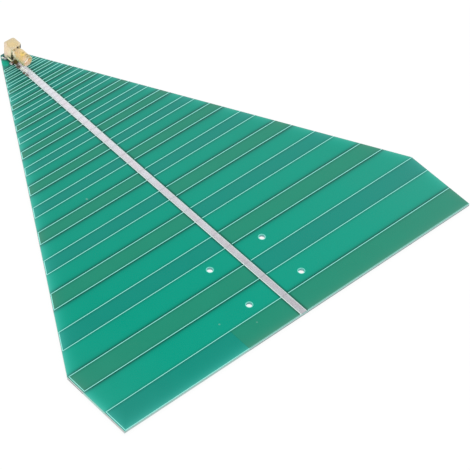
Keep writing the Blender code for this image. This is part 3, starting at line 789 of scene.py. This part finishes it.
def make_bare_material(settings):
    """Laminate without mask: pale and fibrous, its hole walls painted paler than the ring's top as painted
    light inside the holes.
    """
    colours = settings.colours
    material, w, shader, point = new_material("bare_laminate", Specular_IOR_Level=0.2)
    fibres = w.streaks(point, (1500.0, 1500.0, 5000.0))
    level = w.above(w.absolute(w.normal("True Normal")[2]), 0.5)
    base = w.tint(w.mix(level, colours.bare_wall, colours.bare), w.spread(fibres, 0.2, 0.8, 0.88, 1.06))
    paint(w, shader, base, w.between(fibres, 0.6, 0.8), fibres, 0.2, MASK_DEPTH)
    return material


def make_foil_material(settings):
    """Solder mask on copper foil, with painted shade beside the foils' edges and painted light near the cut
    edges, to the right and towards the tip.
    """
    colours = settings.colours
    material, w, shader, point = new_material("mask_on_foil", Specular_IOR_Level=0.05)
    pattern = place_strips(w, point, settings.strips)
    drift = place_painted_light(w, point, settings.strips)
    skin = w.effect("Mask skin", Point=point, Blotch=0.09, Weave=0.006)
    base = w.tint(colours.foil, shade_edges(w, pattern, skin["Tone"]))
    base = add_painted_light(w, base, drift, colours.rim_foil, 0.35)
    scratch = w.effect("Scratches", Point=point, Along=(500.0, 2600.0, 100.0), Density=0.08)
    base = w.mix(w.times(scratch["Mask"], 0.25), base, SCRATCHED_MASK)
    base = add_marks(w, point, base, BOARD_MARKS)
    paint(w, shader, base, skin["Gloss"], skin["Height"], 0.25, MASK_DEPTH)
    return material


def make_print_material(settings):
    """Pale printed ink that thins out at its edges, so that the green shows faintly through it; that darker
    green also stands as painted shade beside the foils' edges, and the outer side of the right feed line
    print is painted over with shade.
    """
    colours = settings.colours
    material, w, shader, point = new_material("printed_ink", Specular_IOR_Level=0.2)
    pattern = place_strips(w, point, settings.strips)
    edge = pattern["Any Edge"]
    x, y, _ = w.split(point)
    feed_print_end, pale_to, dark_from = 2.5 * MM, 1.83 * MM, 1.95 * MM
    beside = w.below(w.absolute(x), feed_print_end)
    # Painted shade: the outer side of the right feed line's print is painted dark, fading towards the tip.
    outer = w.times(beside, w.spread(x, pale_to, dark_from))
    outer = w.times(outer, w.spread(y, up_board(130), up_board(175), 1.0, 0.15))
    base_line = w.times(w.below(y, up_board(1)), pattern["Front Foil"])
    line = w.mix(base_line, colours.print_line, colours.print_dim)
    line = w.mix(beside, line, colours.print_white)
    line = w.mix(outer, line, colours.print_painted_shade)
    thin = w.spread(w.noise(point, 700.0, 4.0, 0.65), 0.35, 0.75)
    ink = w.mix(w.times(thin, 0.3), line, w.tint(line, THIN_INK_TINT))
    # Ink thinning at the line's edges, darkened as painted shade beside the foil's edge.
    full_to, thin_from, line_end = 0.12 * MM, 0.19 * MM, 0.24 * MM
    feather = w.times(w.spread(edge, full_to, thin_from), w.below(edge, line_end))
    ink = w.mix(w.times(feather, 0.6), ink, INK_EDGE_MASK_AND_SHADE)
    ink = add_marks(w, point, ink, BOARD_MARKS)
    paint(w, shader, ink, w.between(thin, 0.5, 0.7), thin, 0.3, 0.01 * MM)
    return material


def make_tin_material(settings):
    """Hot tinned strip: bright, with long ripples, warm streaks and faint marks at each strip edge, darker
    towards the base and brighter towards the tip.
    """
    colours = settings.colours
    material, w, shader, point = new_material("tinned_strip", Metallic=0.7)
    pattern = place_strips(w, point, settings.strips)
    drawn = w.vector("MULTIPLY", point, (1.0, 0.45, 1.0))
    skin = w.effect("Metal skin", Point=drawn, Cloud=420.0, Grain=2600.0, Ripple=1.0)
    base = w.mix(w.times(skin["Cloudy"], 0.5), colours.tin, colours.tin_warm)
    # Darker towards the base and brighter towards the tip.
    bright = w.spread(w.split(point)[1], BOARD_LOW.y, BOARD_HIGH.y, 0.60, 1.13)
    mark = shade_edge(w, pattern["Any Edge"], 0.2, 0.25, 0.15)
    base = w.tint(base, w.times(bright, mark, w.between(skin["Fine"], 0.93, 1.04)))
    base = add_marks(w, point, base, BOARD_MARKS)
    paint(w, shader, base, w.between(skin["Cloudy"], 0.42, 0.6), skin["Height"], 0.35, SOLDER_DEPTH)
    return material


def make_solder_material(settings):
    """Solder: bright where it flowed, frosted in patches, brown where flux was left."""
    material, w, shader, point = new_material("solder", Metallic=0.8)
    skin = w.effect("Metal skin", Point=point, Cloud=1500.0, Grain=6000.0, Ripple=1.0)
    base = w.mix(skin["Cloudy"], settings.colours.tin, FROST)
    burnt = w.spread(w.noise(point, 700.0, 3.0, 0.6), 0.5, 0.6)
    base = w.mix(w.times(burnt, 0.8), base, BURNT_FLUX)
    base = add_marks(w, point, base, JOINT_MARKS)
    paint(w, shader, base, w.between(skin["Fine"], 0.22, 0.5), skin["Height"], 0.4, SOLDER_DEPTH)
    return material


def make_gold_material(settings, name, base_colour, pale, marks):
    """Gold plate: cloudy, rubbed pale in places, yellow on the barrel, burnt by flux, with painted shade on
    its downward faces, upward faces painted darker, and a painted highlight with a glowing painted glint
    along the block's foot.
    """
    colours = settings.colours
    jack = settings.jack
    # The emission lights only the painted glint at the block's foot.
    material, w, shader, point = new_material(name, Metallic=0.35, Emission_Strength=0.5)
    skin = w.effect("Metal skin", Point=point, Cloud=500.0, Grain=4200.0, Ripple=0.6)
    base = w.mix(w.times(skin["Cloudy"], pale), base_colour, colours.gold_pale)
    x, y, z = w.split(point)
    barrel = w.below(y, JACK_Y - jack.block_depth / 2 - 0.5 * MM)
    patch = w.times(barrel, w.spread(w.noise(point, 330.0, 3.0, 0.6), 0.4, 0.62, 0.0, 0.5))
    base = w.mix(patch, base, colours.gold_deep)

    # Painted highlight: a pale band along the block's foot, with a painted glint at its front left corner
    # that glows through the emission.
    foot = BODY_HIGH.z - jack.block_height
    lit_to, plain_from, corner_size = foot + 0.8 * MM, foot + 1.05 * MM, 0.4 * MM
    lit = w.times(w.spread(z, lit_to, plain_from, 1.0, 0.0), w.above(z, foot))
    base = w.mix(lit, base, FOOT_PAINTED_HIGHLIGHT)
    corner = w.below(w.plus(x, w.minus(y, JACK_Y)), BODY_LOW.x - corner_size)
    glint = w.times(lit, corner, w.below(x, BODY_LOW.x + corner_size))
    w.feed(shader.inputs["Emission Color"], w.mix(glint, NO_LIGHT, FOOT_PAINTED_GLINT))

    scratch = w.effect("Scratches", Point=point, Along=(5200.0, 900.0, 2600.0), Density=0.2)
    base = w.mix(w.times(scratch["Mask"], 0.35), base, SCRATCHED_GOLD)
    facing = w.normal("Normal")[2]
    mouth = w.below(y, CORE_LOW.y + 0.1 * MM)
    # Painted shade on the downward faces outside the mouth.
    painted_shade_below = w.times(w.spread(facing, -0.25, -0.75), w.minus(1.0, mouth))
    # Upward faces painted darker, as painted shade.
    base = w.tint(base, w.spread(facing, 0.35, 0.95, 1.0, 0.70))
    base = w.mix(painted_shade_below, base, colours.gold_painted_shade)
    base = add_marks(w, point, base, marks)
    paint(w, shader, base, w.between(skin["Fine"], 0.26, 0.4), skin["Height"], 0.25, MASK_DEPTH)
    return material


def make_plastic_material(settings):
    """Waxy plastic with faint turning marks, and a faint painted glow from its emission."""
    material, w, shader, point = new_material(
        "core_plastic", Specular_IOR_Level=0.4, Subsurface_Weight=0.15, Subsurface_Scale=0.5 * MM,
        Emission_Color=CORE_PAINTED_GLOW, Emission_Strength=0.4,
    )
    haze = w.noise(point, 900.0, 3.0, 0.6)
    base = w.mix(w.spread(haze, 0.3, 0.7, 0.0, 0.35), settings.colours.plastic, DULL_PLASTIC)
    from_axis = w.vector("LENGTH", w.vector("MULTIPLY", point, (1, 0, 1)))
    turning_rate = 40000.0
    turning = w.math("SINE", w.times(from_axis, turning_rate))
    paint(w, shader, base, w.spread(haze, 0.3, 0.7, 0.42, 0.58), turning, 0.12, 0.005 * MM)
    return material


# Modelling


def deselect():
    """Select nothing, in object mode."""
    if bpy.context.mode != "OBJECT":
        bpy.ops.object.mode_set(mode="OBJECT")
    bpy.ops.object.select_all(action="DESELECT")


def activate(obj):
    """Select one object alone."""
    deselect()
    obj.select_set(True)
    bpy.context.view_layer.objects.active = obj


def open_mesh(obj):
    """Enter edit mode with everything selected."""
    activate(obj)
    bpy.ops.object.mode_set(mode="EDIT")
    bpy.ops.mesh.select_mode(type="VERT")
    bpy.ops.mesh.select_all(action="SELECT")


def choose_edges(obj, test):
    """Select the edges that pass a test, in edit mode."""
    bpy.ops.mesh.select_mode(type="EDGE")
    bpy.ops.mesh.select_all(action="DESELECT")
    mesh = bmesh.from_edit_mesh(obj.data)
    for edge in mesh.edges:
        edge.select_set(test(edge))
    bmesh.update_edit_mesh(obj.data)


def choose_points(obj, test):
    """Select the points that pass a test, in edit mode."""
    bpy.ops.mesh.select_mode(type="VERT")
    bpy.ops.mesh.select_all(action="DESELECT")
    mesh = bmesh.from_edit_mesh(obj.data)
    for point in mesh.verts:
        point.select_set(test(point.co))
    mesh.select_flush(True)
    bmesh.update_edit_mesh(obj.data)


def close_mesh():
    """Merge doubles, point the faces outwards and leave edit mode."""
    bpy.ops.mesh.select_mode(type="VERT")
    bpy.ops.mesh.select_all(action="SELECT")
    bpy.ops.mesh.remove_doubles(threshold=MERGE_DISTANCE)
    bpy.ops.mesh.normals_make_consistent(inside=False)
    bpy.ops.object.mode_set(mode="OBJECT")


def apply_place(obj):
    """Move an object's place, turn and size into its mesh."""
    activate(obj)
    bpy.ops.object.transform_apply(location=True, rotation=True, scale=True)


def apply_modifier(obj, modifier):
    """Make one modifier part of the mesh."""
    activate(obj)
    bpy.ops.object.modifier_apply(modifier=modifier.name)


def draw_line(name, points):
    """Draw a line of (radius, height) points by extruding one corner."""
    deselect()
    bpy.ops.mesh.primitive_plane_add(size=MM)
    line = bpy.context.object
    line.name = name
    open_mesh(line)
    bpy.ops.mesh.merge(type="CENTER")
    bpy.ops.transform.translate(value=(points[0][0], 0, points[0][1]))
    for before, after in zip(points, points[1:]):
        step = (after[0] - before[0], 0, after[1] - before[1])
        bpy.ops.mesh.extrude_vertices_move(TRANSFORM_OT_translate={"value": step})
    bpy.ops.object.mode_set(mode="OBJECT")
    return line


def turn_line(name, points, steps=ROUND_STEPS, ring=False):
    """Turn a line of (radius, height) points about Z into a closed solid."""
    if ring:
        points = list(points) + [points[0]]
    solid = draw_line(name, points)
    turn = solid.modifiers.new("turn", "SCREW")
    turn.steps = turn.render_steps = steps
    apply_modifier(solid, turn)
    open_mesh(solid)
    close_mesh()
    return solid


def stand(obj, x, y):
    """Put a turned piece upright over one spot."""
    obj.location = (x, y, 0)
    apply_place(obj)
    return obj


def set_out(pattern, name, places):
    """Stand numbered copies of a turned piece at their places, and take the piece itself away."""
    copies = []
    for number, (x, y) in enumerate(places, 1):
        copy = pattern.copy()
        copy.data = pattern.data.copy()
        copy.name = f"{name}_{number}"
        bpy.context.scene.collection.objects.link(copy)
        copies.append(stand(copy, x, y))
    bpy.data.objects.remove(pattern)
    return copies


def add_block(name, location, size):
    """A plain block of one size round a place."""
    deselect()
    bpy.ops.mesh.primitive_cube_add(size=1, location=location)
    block = bpy.context.object
    block.name = name
    block.scale = size
    apply_place(block)
    return block


def displace(obj, texture, strength, **settings):
    """Push an object's points about by a texture, equally far both ways."""
    push = obj.modifiers.new("displace", "DISPLACE")
    push.texture = texture
    push.mid_level = 0.5
    push.strength = strength
    for name, value in settings.items():
        setattr(push, name, value)
    apply_modifier(obj, push)


def cloud_texture(name, scale):
    """A cloudy texture for displacing."""
    texture = bpy.data.textures.new(name, "CLOUDS")
    texture.noise_scale = scale
    return texture


def lay_on_axis(obj):
    """Lay a turned piece along the jack's axis, its height pointing at the base edge."""
    obj.location = (0, JACK_Y, JACK_AXIS_Z)
    obj.rotation_euler = (math.pi / 2, 0, 0)
    apply_place(obj)
    return obj


def combine(obj, operation, *others):
    """Join other solids to a piece, cut them out of it or keep what they share."""
    for other in others:
        boolean = obj.modifiers.new(other.name, "BOOLEAN")
        boolean.operation = operation
        boolean.solver = "MANIFOLD"
        boolean.object = other
        apply_modifier(obj, boolean)
        bpy.data.objects.remove(other)
    return obj


def finish_piece(obj, material, slot, *nodes):
    """Give a piece its smooth shading, material and body, in place of CAD nodes; the slot argument is not
    used.
    """
    obj.data.name = obj.name
    activate(obj)
    bpy.ops.object.shade_smooth_by_angle(angle=SMOOTH_ANGLE)
    obj.data.materials.clear()
    obj.data.materials.append(material)
    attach(obj, BODY)
    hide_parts(*nodes)


def dress(material, *nodes):
    """Give CAD nodes that stay a better material."""
    for node in nodes:
        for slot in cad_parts[node].material_slots:
            slot.material = material


def settings_of(context):
    """The antenna's settings in this scene."""
    return context.scene.antenna_looks


def leg_places(jack):
    """The place of each leg."""
    half = jack.leg_pitch / 2
    return [(x * half, JACK_Y + y * half) for y in (-1, 1) for x in (-1, 1)]


# Operators


class ANTENNA_OT_effects(bpy.types.Operator):
    """Build the shader effects that the materials share"""

    bl_idname = "antenna.effects"
    bl_label = "Shared effects"

    def execute(self, context):
        for make in (
            make_strip_pattern, make_board_outline, make_mask_skin, make_ragged_spot,
            make_scratches, make_metal_skin, make_edge_shadow, make_painted_light_drift,
        ):
            make()
        return {"FINISHED"}


class ANTENNA_OT_board(bpy.types.Operator):
    """Dress the laminate, the masked foils, the pads and the printed lines"""

    bl_idname = "antenna.board"
    bl_label = "Board"

    def execute(self, context):
        settings = settings_of(context)
        dress(make_laminate_material(settings), "laminate")
        dress(make_foil_material(settings), "top_copper", "bottom_copper")
        dress(make_print_material(settings), "top_legend_right", "top_legend_left")
        dress(make_solder_material(settings), *[f"leg_pad_{n}" for n in range(1, 5)])
        return {"FINISHED"}


class ANTENNA_OT_hole_rims(bpy.types.Operator):
    """Model the bare ring of laminate in each screw hole"""

    bl_idname = "antenna.hole_rims"
    bl_label = "Hole rims"

    def execute(self, context):
        settings = settings_of(context)
        strips = settings.strips
        material = make_bare_material(settings)
        gap, edge = 0.005 * MM, 0.04 * MM
        outer = strips.hole_diameter / 2 * math.cos(math.pi / HOLE_SIDES) - gap
        inner = strips.hole_clear / 2
        top, base = BOARD_HIGH.z - CLEARANCE, BOARD_LOW.z + CLEARANCE
        pattern = turn_line("hole_rim", [
            (inner + edge, top), (outer, top), (outer, base), (inner + edge, base), (inner, base + edge),
            (inner, top - edge),
        ], ring=True)
        across = strips.hole_across / 2
        ways_up = (strips.hole_lower, strips.hole_upper)
        places = [(x * across, BOARD_LOW.y + way) for way in ways_up for x in (-1, 1)]
        for rim in set_out(pattern, "hole_rim", places):
            finish_piece(rim, material, "laminate")
        return {"FINISHED"}


class ANTENNA_OT_feed_strips(bpy.types.Operator):
    """Model the domed, rippled tinning along both feed lines"""

    bl_idname = "antenna.feed_strips"
    bl_label = "Feed strips"

    def execute(self, context):
        material = make_tin_material(settings_of(context))
        ripple = cloud_texture("tin_ripple", 2.6 * MM)
        for name, node, up in (
            ("top_feed_strip", "top_feed_tinning", 1),
            ("bottom_feed_strip", "bottom_feed_tinning", -1),
        ):
            low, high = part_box(node)
            strip = self.model(name, low, high, up, ripple)
            finish_piece(strip, material, "tinned_copper", node)
        return {"FINISHED"}

    def model(self, name, low, high, up, ripple):
        """One strip between two corners, its dome on the side that up points to."""
        columns, rows = 6, 260
        rim, room, ripple_height = 0.07 * MM, 0.008 * MM, 0.014 * MM
        half = (high.x - low.x) / 2
        depth = high.z - low.z
        crown = depth - rim - room
        foot = low.z if up > 0 else high.z
        deselect()
        bpy.ops.mesh.primitive_grid_add(x_subdivisions=2 * columns, y_subdivisions=rows, size=1)
        strip = bpy.context.object
        strip.name = name
        strip.scale = (2 * half, high.y - low.y, 1)
        strip.location = (0, (low.y + high.y) / 2, foot + up * rim)
        apply_place(strip)
        open_mesh(strip)
        for column in range(1, columns + 1):
            reach = half * (1 - (column - 0.5) / columns)
            here, before = (math.sqrt(1 - (1 - c / columns) ** 2) for c in (column, column - 1))
            choose_points(strip, lambda p: abs(p.x) < reach)
            bpy.ops.transform.translate(value=(0, 0, up * crown * (here - before)))
        displace(strip, ripple, ripple_height, direction="Z")
        open_mesh(strip)
        bpy.ops.mesh.extrude_region_move(TRANSFORM_OT_translate={"value": (0, 0, -up * depth)})
        bpy.ops.transform.resize(value=(1, 1, 0), center_override=(0, 0, foot))
        close_mesh()
        return strip


class ANTENNA_OT_jack_body(bpy.types.Operator):
    """Model the jack's block, threaded barrel and legs, bored for the core and the cap"""

    bl_idname = "antenna.jack_body"
    bl_label = "Jack body"

    def execute(self, context):
        settings = settings_of(context)
        jack = settings.jack
        body = self.model_block(jack)
        combine(body, "UNION", self.model_neck(jack), self.model_thread(jack), *self.model_legs(jack))
        combine(body, "DIFFERENCE", self.model_bore(jack))
        open_mesh(body)
        close_mesh()
        gold = make_gold_material(settings, GOLD_NAME, settings.colours.gold, 0.8, JACK_MARKS)
        finish_piece(body, gold, "gold_plate", "connector_body")
        return {"FINISHED"}

    def model_block(self, jack):
        """The square block: round upright corners, a small round on top and at its foot."""
        base = BODY_HIGH.z - jack.block_height
        middle = (0, JACK_Y, (base + BODY_HIGH.z) / 2)
        size = (BODY_HIGH.x - BODY_LOW.x, jack.block_depth, jack.block_height)
        block = add_block("jack_body", middle, size)
        open_mesh(block)
        choose_edges(block, lambda e: abs(e.verts[0].co.z - e.verts[1].co.z) > MM)
        bpy.ops.mesh.bevel(offset=jack.corner_radius, segments=8, profile=0.5, affect="EDGES")
        choose_edges(block, lambda e: all(v.co.z > BODY_HIGH.z - MERGE_DISTANCE for v in e.verts))
        bpy.ops.mesh.bevel(offset=jack.top_radius, segments=4, profile=0.5, affect="EDGES")
        choose_edges(block, lambda e: all(v.co.z < base + MERGE_DISTANCE for v in e.verts))
        bpy.ops.mesh.bevel(offset=jack.foot_radius, segments=2, profile=0.5, affect="EDGES")
        close_mesh()
        return block

    def model_neck(self, jack):
        """The plain neck between the block and the thread."""
        end = jack.block_depth / 2 + jack.relief_length + jack.barrel_chamfer
        neck = [(0, end), (jack.relief_radius, end), (jack.relief_radius, 0), (0, 0)]
        return lay_on_axis(turn_line("neck", neck))

    def model_thread(self, jack):
        """A screwed thread, cut off square and chamfered at both ends."""
        pitch = jack.thread_pitch
        root, crest = jack.root_radius, jack.barrel_radius
        lead, rise, flat = 0.12, 0.46, 0.62
        start = jack.block_depth / 2 + jack.relief_length
        end = JACK_Y - BODY_LOW.y
        turn = [
            (root, 0), (root, pitch * lead), (crest, pitch * rise), (crest, pitch * flat), (root, pitch),
        ]
        spare_turns = 3
        thread = draw_line("thread", turn)
        screw = thread.modifiers.new("thread", "SCREW")
        screw.steps = screw.render_steps = ROUND_STEPS
        screw.screw_offset = pitch
        screw.iterations = math.ceil((end - start) / pitch) + spare_turns
        apply_modifier(thread, screw)
        thread.location.z = start - spare_turns / 2 * pitch
        apply_place(thread)
        open_mesh(thread)
        bpy.ops.mesh.remove_doubles(threshold=MERGE_DISTANCE)
        for height, cut in ((start, "clear_inner"), (end, "clear_outer")):
            bpy.ops.mesh.select_all(action="SELECT")
            plane = {"plane_co": (0, 0, height), "plane_no": (0, 0, 1), "threshold": MERGE_DISTANCE / 10}
            bpy.ops.mesh.bisect(use_fill=True, **plane, **{cut: True})
        close_mesh()
        past = 0.1 * MM
        chamfer = jack.barrel_chamfer
        outside = [
            (0, end + past), (crest - chamfer - past, end + past), (crest + past, end - chamfer - past),
            (crest + past, start + chamfer + past), (jack.relief_radius - past, start - past),
            (0, start - past),
        ]
        combine(thread, "INTERSECT", turn_line("barrel_outside", outside))
        return lay_on_axis(thread)

    def model_legs(self, jack):
        """Four round legs with chamfered tips: one is turned and the others are copies."""
        radius, chamfer = jack.leg_radius, jack.leg_chamfer
        top = BODY_HIGH.z - jack.block_height + radius
        tip = BODY_LOW.z
        line = [(0, top), (radius, top), (radius, tip + chamfer), (radius - chamfer, tip), (0, tip)]
        return set_out(turn_line("leg", line, PIN_STEPS), "leg", leg_places(jack))

    def model_bore(self, jack):
        """Everything that is bored out of the body, as one cutter."""
        past = 0.5 * MM
        end = JACK_Y - BODY_LOW.y
        face = JACK_Y - CORE_LOW.y
        mouth, lip = jack.mouth_radius, jack.lip
        core = CORE_RADIUS + CLEARANCE
        bore = lay_on_axis(turn_line("bore", [
            (0, end + past), (mouth + lip, end + past), (mouth + lip, end), (mouth, end - lip),
            (mouth, face), (core, face), (core, 0), (0, 0),
        ]))
        base = BODY_HIGH.z - jack.block_height
        cap, bush = CAP_RADIUS + CLEARANCE, BUSH_RADIUS + CLEARANCE
        top, edge = BODY_HIGH.z, 0.1 * MM
        shaft = turn_line("shaft", [
            (0, top + past), (cap + edge, top + past), (cap + edge, top), (cap, top - edge),
            (cap, CAP_LOW.z), (bush, CAP_LOW.z), (bush, base - past), (0, base - past),
        ])
        return combine(bore, "UNION", stand(shaft, 0, JACK_Y))


class ANTENNA_OT_jack_cap(bpy.types.Operator):
    """Model the round cap pressed into the block's top"""

    bl_idname = "antenna.jack_cap"
    bl_label = "Jack cap"

    def execute(self, context):
        top, seat, edge = CAP_HIGH.z, CAP_LOW.z, 0.2 * MM
        middle, dish = (0, top - 0.03 * MM), (CAP_RADIUS * 0.55, top - 0.02 * MM)
        line = [middle, dish, (CAP_RADIUS - 2.2 * edge, top)]
        edge_steps = 4
        for step in range(edge_steps + 1):
            angle = math.pi / 2 * step / edge_steps
            across = CAP_RADIUS - edge + edge * math.sin(angle)
            line.append((across, top - edge + edge * math.cos(angle)))
        line += [(CAP_RADIUS, seat), (0, seat)]
        cap = stand(turn_line("jack_cap", line), 0, JACK_Y)
        settings = settings_of(context)
        plate = settings.colours.gold_cap
        gold = make_gold_material(settings, "gold_cap_worn", plate, 0.3, CAP_MARKS)
        finish_piece(cap, gold, "gold_plate", "connector_cap")
        return {"FINISHED"}


class ANTENNA_OT_jack_core(bpy.types.Operator):
    """Model the plastic core and bush, the slotted centre contact and its upright pin"""

    bl_idname = "antenna.jack_core"
    bl_label = "Jack core"

    def execute(self, context):
        settings = settings_of(context)
        plastic = make_plastic_material(settings)
        gold = bpy.data.materials[GOLD_NAME]
        finish_piece(self.model_core(), plastic, "core_plastic", "connector_insulator")
        finish_piece(self.model_bush(), plastic, "core_plastic", "tail_insulator")
        finish_piece(self.model_contact(settings.jack), gold, "gold_plate", "connector_contact")
        finish_piece(self.model_tail(settings.jack), gold, "gold_plate", "connector_tail")
        return {"FINISHED"}

    def model_core(self):
        """The ring of plastic in the barrel, its front edges broken."""
        outer, inner = CORE_RADIUS, CONTACT_RADIUS + CLEARANCE
        front, back = JACK_Y - CORE_LOW.y, JACK_Y - CORE_HIGH.y
        edge = 0.1 * MM
        return lay_on_axis(turn_line("jack_insulator", [
            (inner + edge, front), (outer - edge, front), (outer, front - edge), (outer, back),
            (inner, back), (inner, front - edge),
        ], ring=True))

    def model_bush(self):
        """The ring of plastic in the block's foot."""
        outer, inner = BUSH_RADIUS, TAIL_RADIUS + CLEARANCE
        top, base = BUSH_HIGH.z, BUSH_LOW.z
        edge = 0.1 * MM
        return stand(turn_line("tail_bush", [
            (inner, top), (outer, top), (outer, base + edge), (outer - edge, base), (inner, base),
        ], ring=True), 0, JACK_Y)

    def model_contact(self, jack):
        """The contact with its hole, and two slots across its front end."""
        outer, socket = CONTACT_RADIUS, jack.socket_radius
        front, back = JACK_Y - CONTACT_LOW.y, JACK_Y - CONTACT_HIGH.y
        floor = front - jack.socket_depth
        edge = 0.08 * MM
        contact = lay_on_axis(turn_line("jack_contact", [
            (0, floor), (socket, floor + 0.2 * MM), (socket, front - edge), (socket + edge, front),
            (outer - edge, front), (outer, front - edge), (outer, back), (0, back),
        ], PIN_STEPS))
        past = 0.3 * MM
        deep = jack.slot_depth + past
        middle = (0, JACK_Y - front + (jack.slot_depth - past) / 2, JACK_AXIS_Z)
        thin, wide = jack.slot_width, 4 * outer
        for number, (x, z) in enumerate(((thin, wide), (wide, thin)), 1):
            combine(contact, "DIFFERENCE", add_block(f"slot_{number}", middle, (x, deep, z)))
        return contact

    def model_tail(self, jack):
        """The upright pin."""
        radius, edge = TAIL_RADIUS, jack.leg_chamfer
        top, tip = TAIL_HIGH.z, TAIL_LOW.z
        return stand(turn_line("jack_tail", [
            (0, top), (radius - edge / 2, top), (radius, top - edge / 2), (radius, tip + edge),
            (radius - edge, tip), (0, tip),
        ], PIN_STEPS), 0, JACK_Y)


class ANTENNA_OT_solder(bpy.types.Operator):
    """Model the hollow solder joints round the four legs and the centre pin"""

    bl_idname = "antenna.solder"
    bl_label = "Solder joints"

    def execute(self, context):
        settings = settings_of(context)
        material = make_solder_material(settings)
        skin = cloud_texture("solder_skin", 0.9 * MM)
        jack = settings.jack
        upper = self.curve(jack, FRONT_FOIL_Z, JOINT_HIGH.z)
        lower = self.curve(jack, BACK_FOIL_FACE, JOINT_LOW.z)[::-1]
        pattern = turn_line("leg_joint", upper + lower, PIN_STEPS * 2, ring=True)
        legs = set_out(pattern, "leg_joint", leg_places(jack))
        top, edge = PIN_JOINT_TOP, 0.1 * MM
        inner = jack.leg_radius - JOINT_OVERLAP
        plug = [(inner, top), (DRILL_RADIUS - edge, top), (DRILL_RADIUS, top - edge)]
        pin = stand(turn_line("pin_joint", plug + lower, PIN_STEPS * 2, ring=True), 0, JACK_Y)
        nodes = [f"leg_solder_{number}" for number in range(1, len(legs) + 1)]
        for joint, node in zip([*legs, pin], [*nodes, "pin_solder"]):
            displace(joint, skin, 0.05 * MM)
            finish_piece(joint, material, "tinned_copper", node)
        return {"FINISHED"}

    def curve(self, jack, foot, top):
        """From the pin down a hollow curve to the pad's edge, and back below it to the drilled hole."""
        way = math.copysign(1.0, top - foot)
        pad, pin = JOINT_RADIUS - 0.03 * MM, jack.leg_radius + 0.08 * MM
        height, rim = abs(top - foot) - 0.03 * MM, 0.05 * MM
        steps, hollow = 9, 2.2
        points = [
            (jack.leg_radius - JOINT_OVERLAP, foot + way * height),
            (pin - 0.03 * MM, foot + way * (height - 0.02 * MM)),
        ]
        for step in range(1, steps + 1):
            share = step / steps
            rise = rim + (height - rim) * (1 - share) ** hollow
            points.append((pin + (pad - pin) * share, foot + way * rise))
        lift = foot + way * 0.015 * MM
        return [*points, (pad, lift), (DRILL_RADIUS, lift)]


class ANTENNA_OT_stage(bpy.types.Operator):
    """Set the pale floor, the soft light and the camera"""

    bl_idname = "antenna.stage"
    bl_label = "Stage"

    def execute(self, context):
        stage = settings_of(context).stage
        self.lay_floor(stage)
        self.light(stage)
        deselect()
        bpy.ops.object.camera_add(location=stage.camera_place, rotation=stage.camera_turn)
        camera = bpy.context.object
        camera.data.lens = stage.lens
        camera.data.sensor_width = stage.sensor
        camera.data.clip_end = CAMERA_REACH
        context.scene.camera = camera
        context.scene.view_settings.view_transform = "Standard"
        return {"FINISHED"}

    def lay_floor(self, stage):
        """A plain floor just under the leg tips, white to the camera but for the soft shadow."""
        deselect()
        bpy.ops.mesh.primitive_plane_add(size=stage.floor_size, location=(0, 0, -CLEARANCE))
        floor = bpy.context.object
        floor.name = "floor"
        material, w, shader, _ = new_material(
            "pale_floor", Roughness=0.9, Specular_IOR_Level=0.0, Emission_Color=WHITE_LIGHT,
        )
        seen = w.seen_by("Camera", "Glossy")
        w.feed(shader.inputs["Base Color"], w.mix(seen, FLOOR_GREY, FLOOR_SEEN))
        w.feed(shader.inputs["Emission Strength"], w.times(seen, 0.94))
        floor.data.materials.append(material)

    def light(self, stage):
        """A large soft lamp overhead, a fainter one on the right, and plain white surroundings."""
        for name, place, size, power in (
            ("overhead_lamp", stage.overhead_place, stage.overhead_size, stage.overhead_power),
            ("side_lamp", stage.side_place, stage.side_size, stage.side_power),
        ):
            deselect()
            aim = (-Vector(place)).to_track_quat("-Z", "Y").to_euler()
            bpy.ops.object.light_add(type="AREA", location=place, rotation=aim)
            lamp = bpy.context.object
            lamp.name = name
            lamp.data.size = size
            lamp.data.energy = power
        world = bpy.data.worlds.new("surroundings")
        bpy.context.scene.world = world
        world.use_nodes = True
        w = Wiring(world.node_tree)
        background = w.tree.nodes["Background"]
        seen = w.seen_by("Camera", "Glossy", "Transmission")
        w.fill(background, ("Color", "Strength"), (WHITE_LIGHT, w.between(seen, stage.sky, 1.0)))


OPERATORS = (
    ANTENNA_OT_effects,
    ANTENNA_OT_board,
    ANTENNA_OT_hole_rims,
    ANTENNA_OT_feed_strips,
    ANTENNA_OT_jack_body,
    ANTENNA_OT_jack_cap,
    ANTENNA_OT_jack_core,
    ANTENNA_OT_solder,
    ANTENNA_OT_stage,
)


class ANTENNA_PT_looks(bpy.types.Panel):
    """Lists the antenna's steps in their order"""

    bl_idname = "ANTENNA_PT_looks"
    bl_label = "Antenna"
    bl_space_type = "VIEW_3D"
    bl_region_type = "UI"
    bl_category = "Antenna"

    def draw(self, context):
        for operator in OPERATORS:
            self.layout.operator(operator.bl_idname)


CLASSES = (
    AntennaStripSettings,
    AntennaColourSettings,
    AntennaJackSettings,
    AntennaStageSettings,
    AntennaSettings,
    *OPERATORS,
    ANTENNA_PT_looks,
)


def register():
    """Make the classes and the settings known to Blender."""
    for cls in CLASSES:
        bpy.utils.register_class(cls)
    bpy.types.Scene.antenna_looks = PointerProperty(type=AntennaSettings)


def unregister():
    """Take the settings and the classes away again."""
    del bpy.types.Scene.antenna_looks
    for cls in reversed(CLASSES):
        bpy.utils.unregister_class(cls)


def main():
    register()
    for operator in OPERATORS:
        group, action = operator.bl_idname.split(".")
        getattr(getattr(bpy.ops, group), action)()
    deselect()


if __name__ == "__main__":
    main()
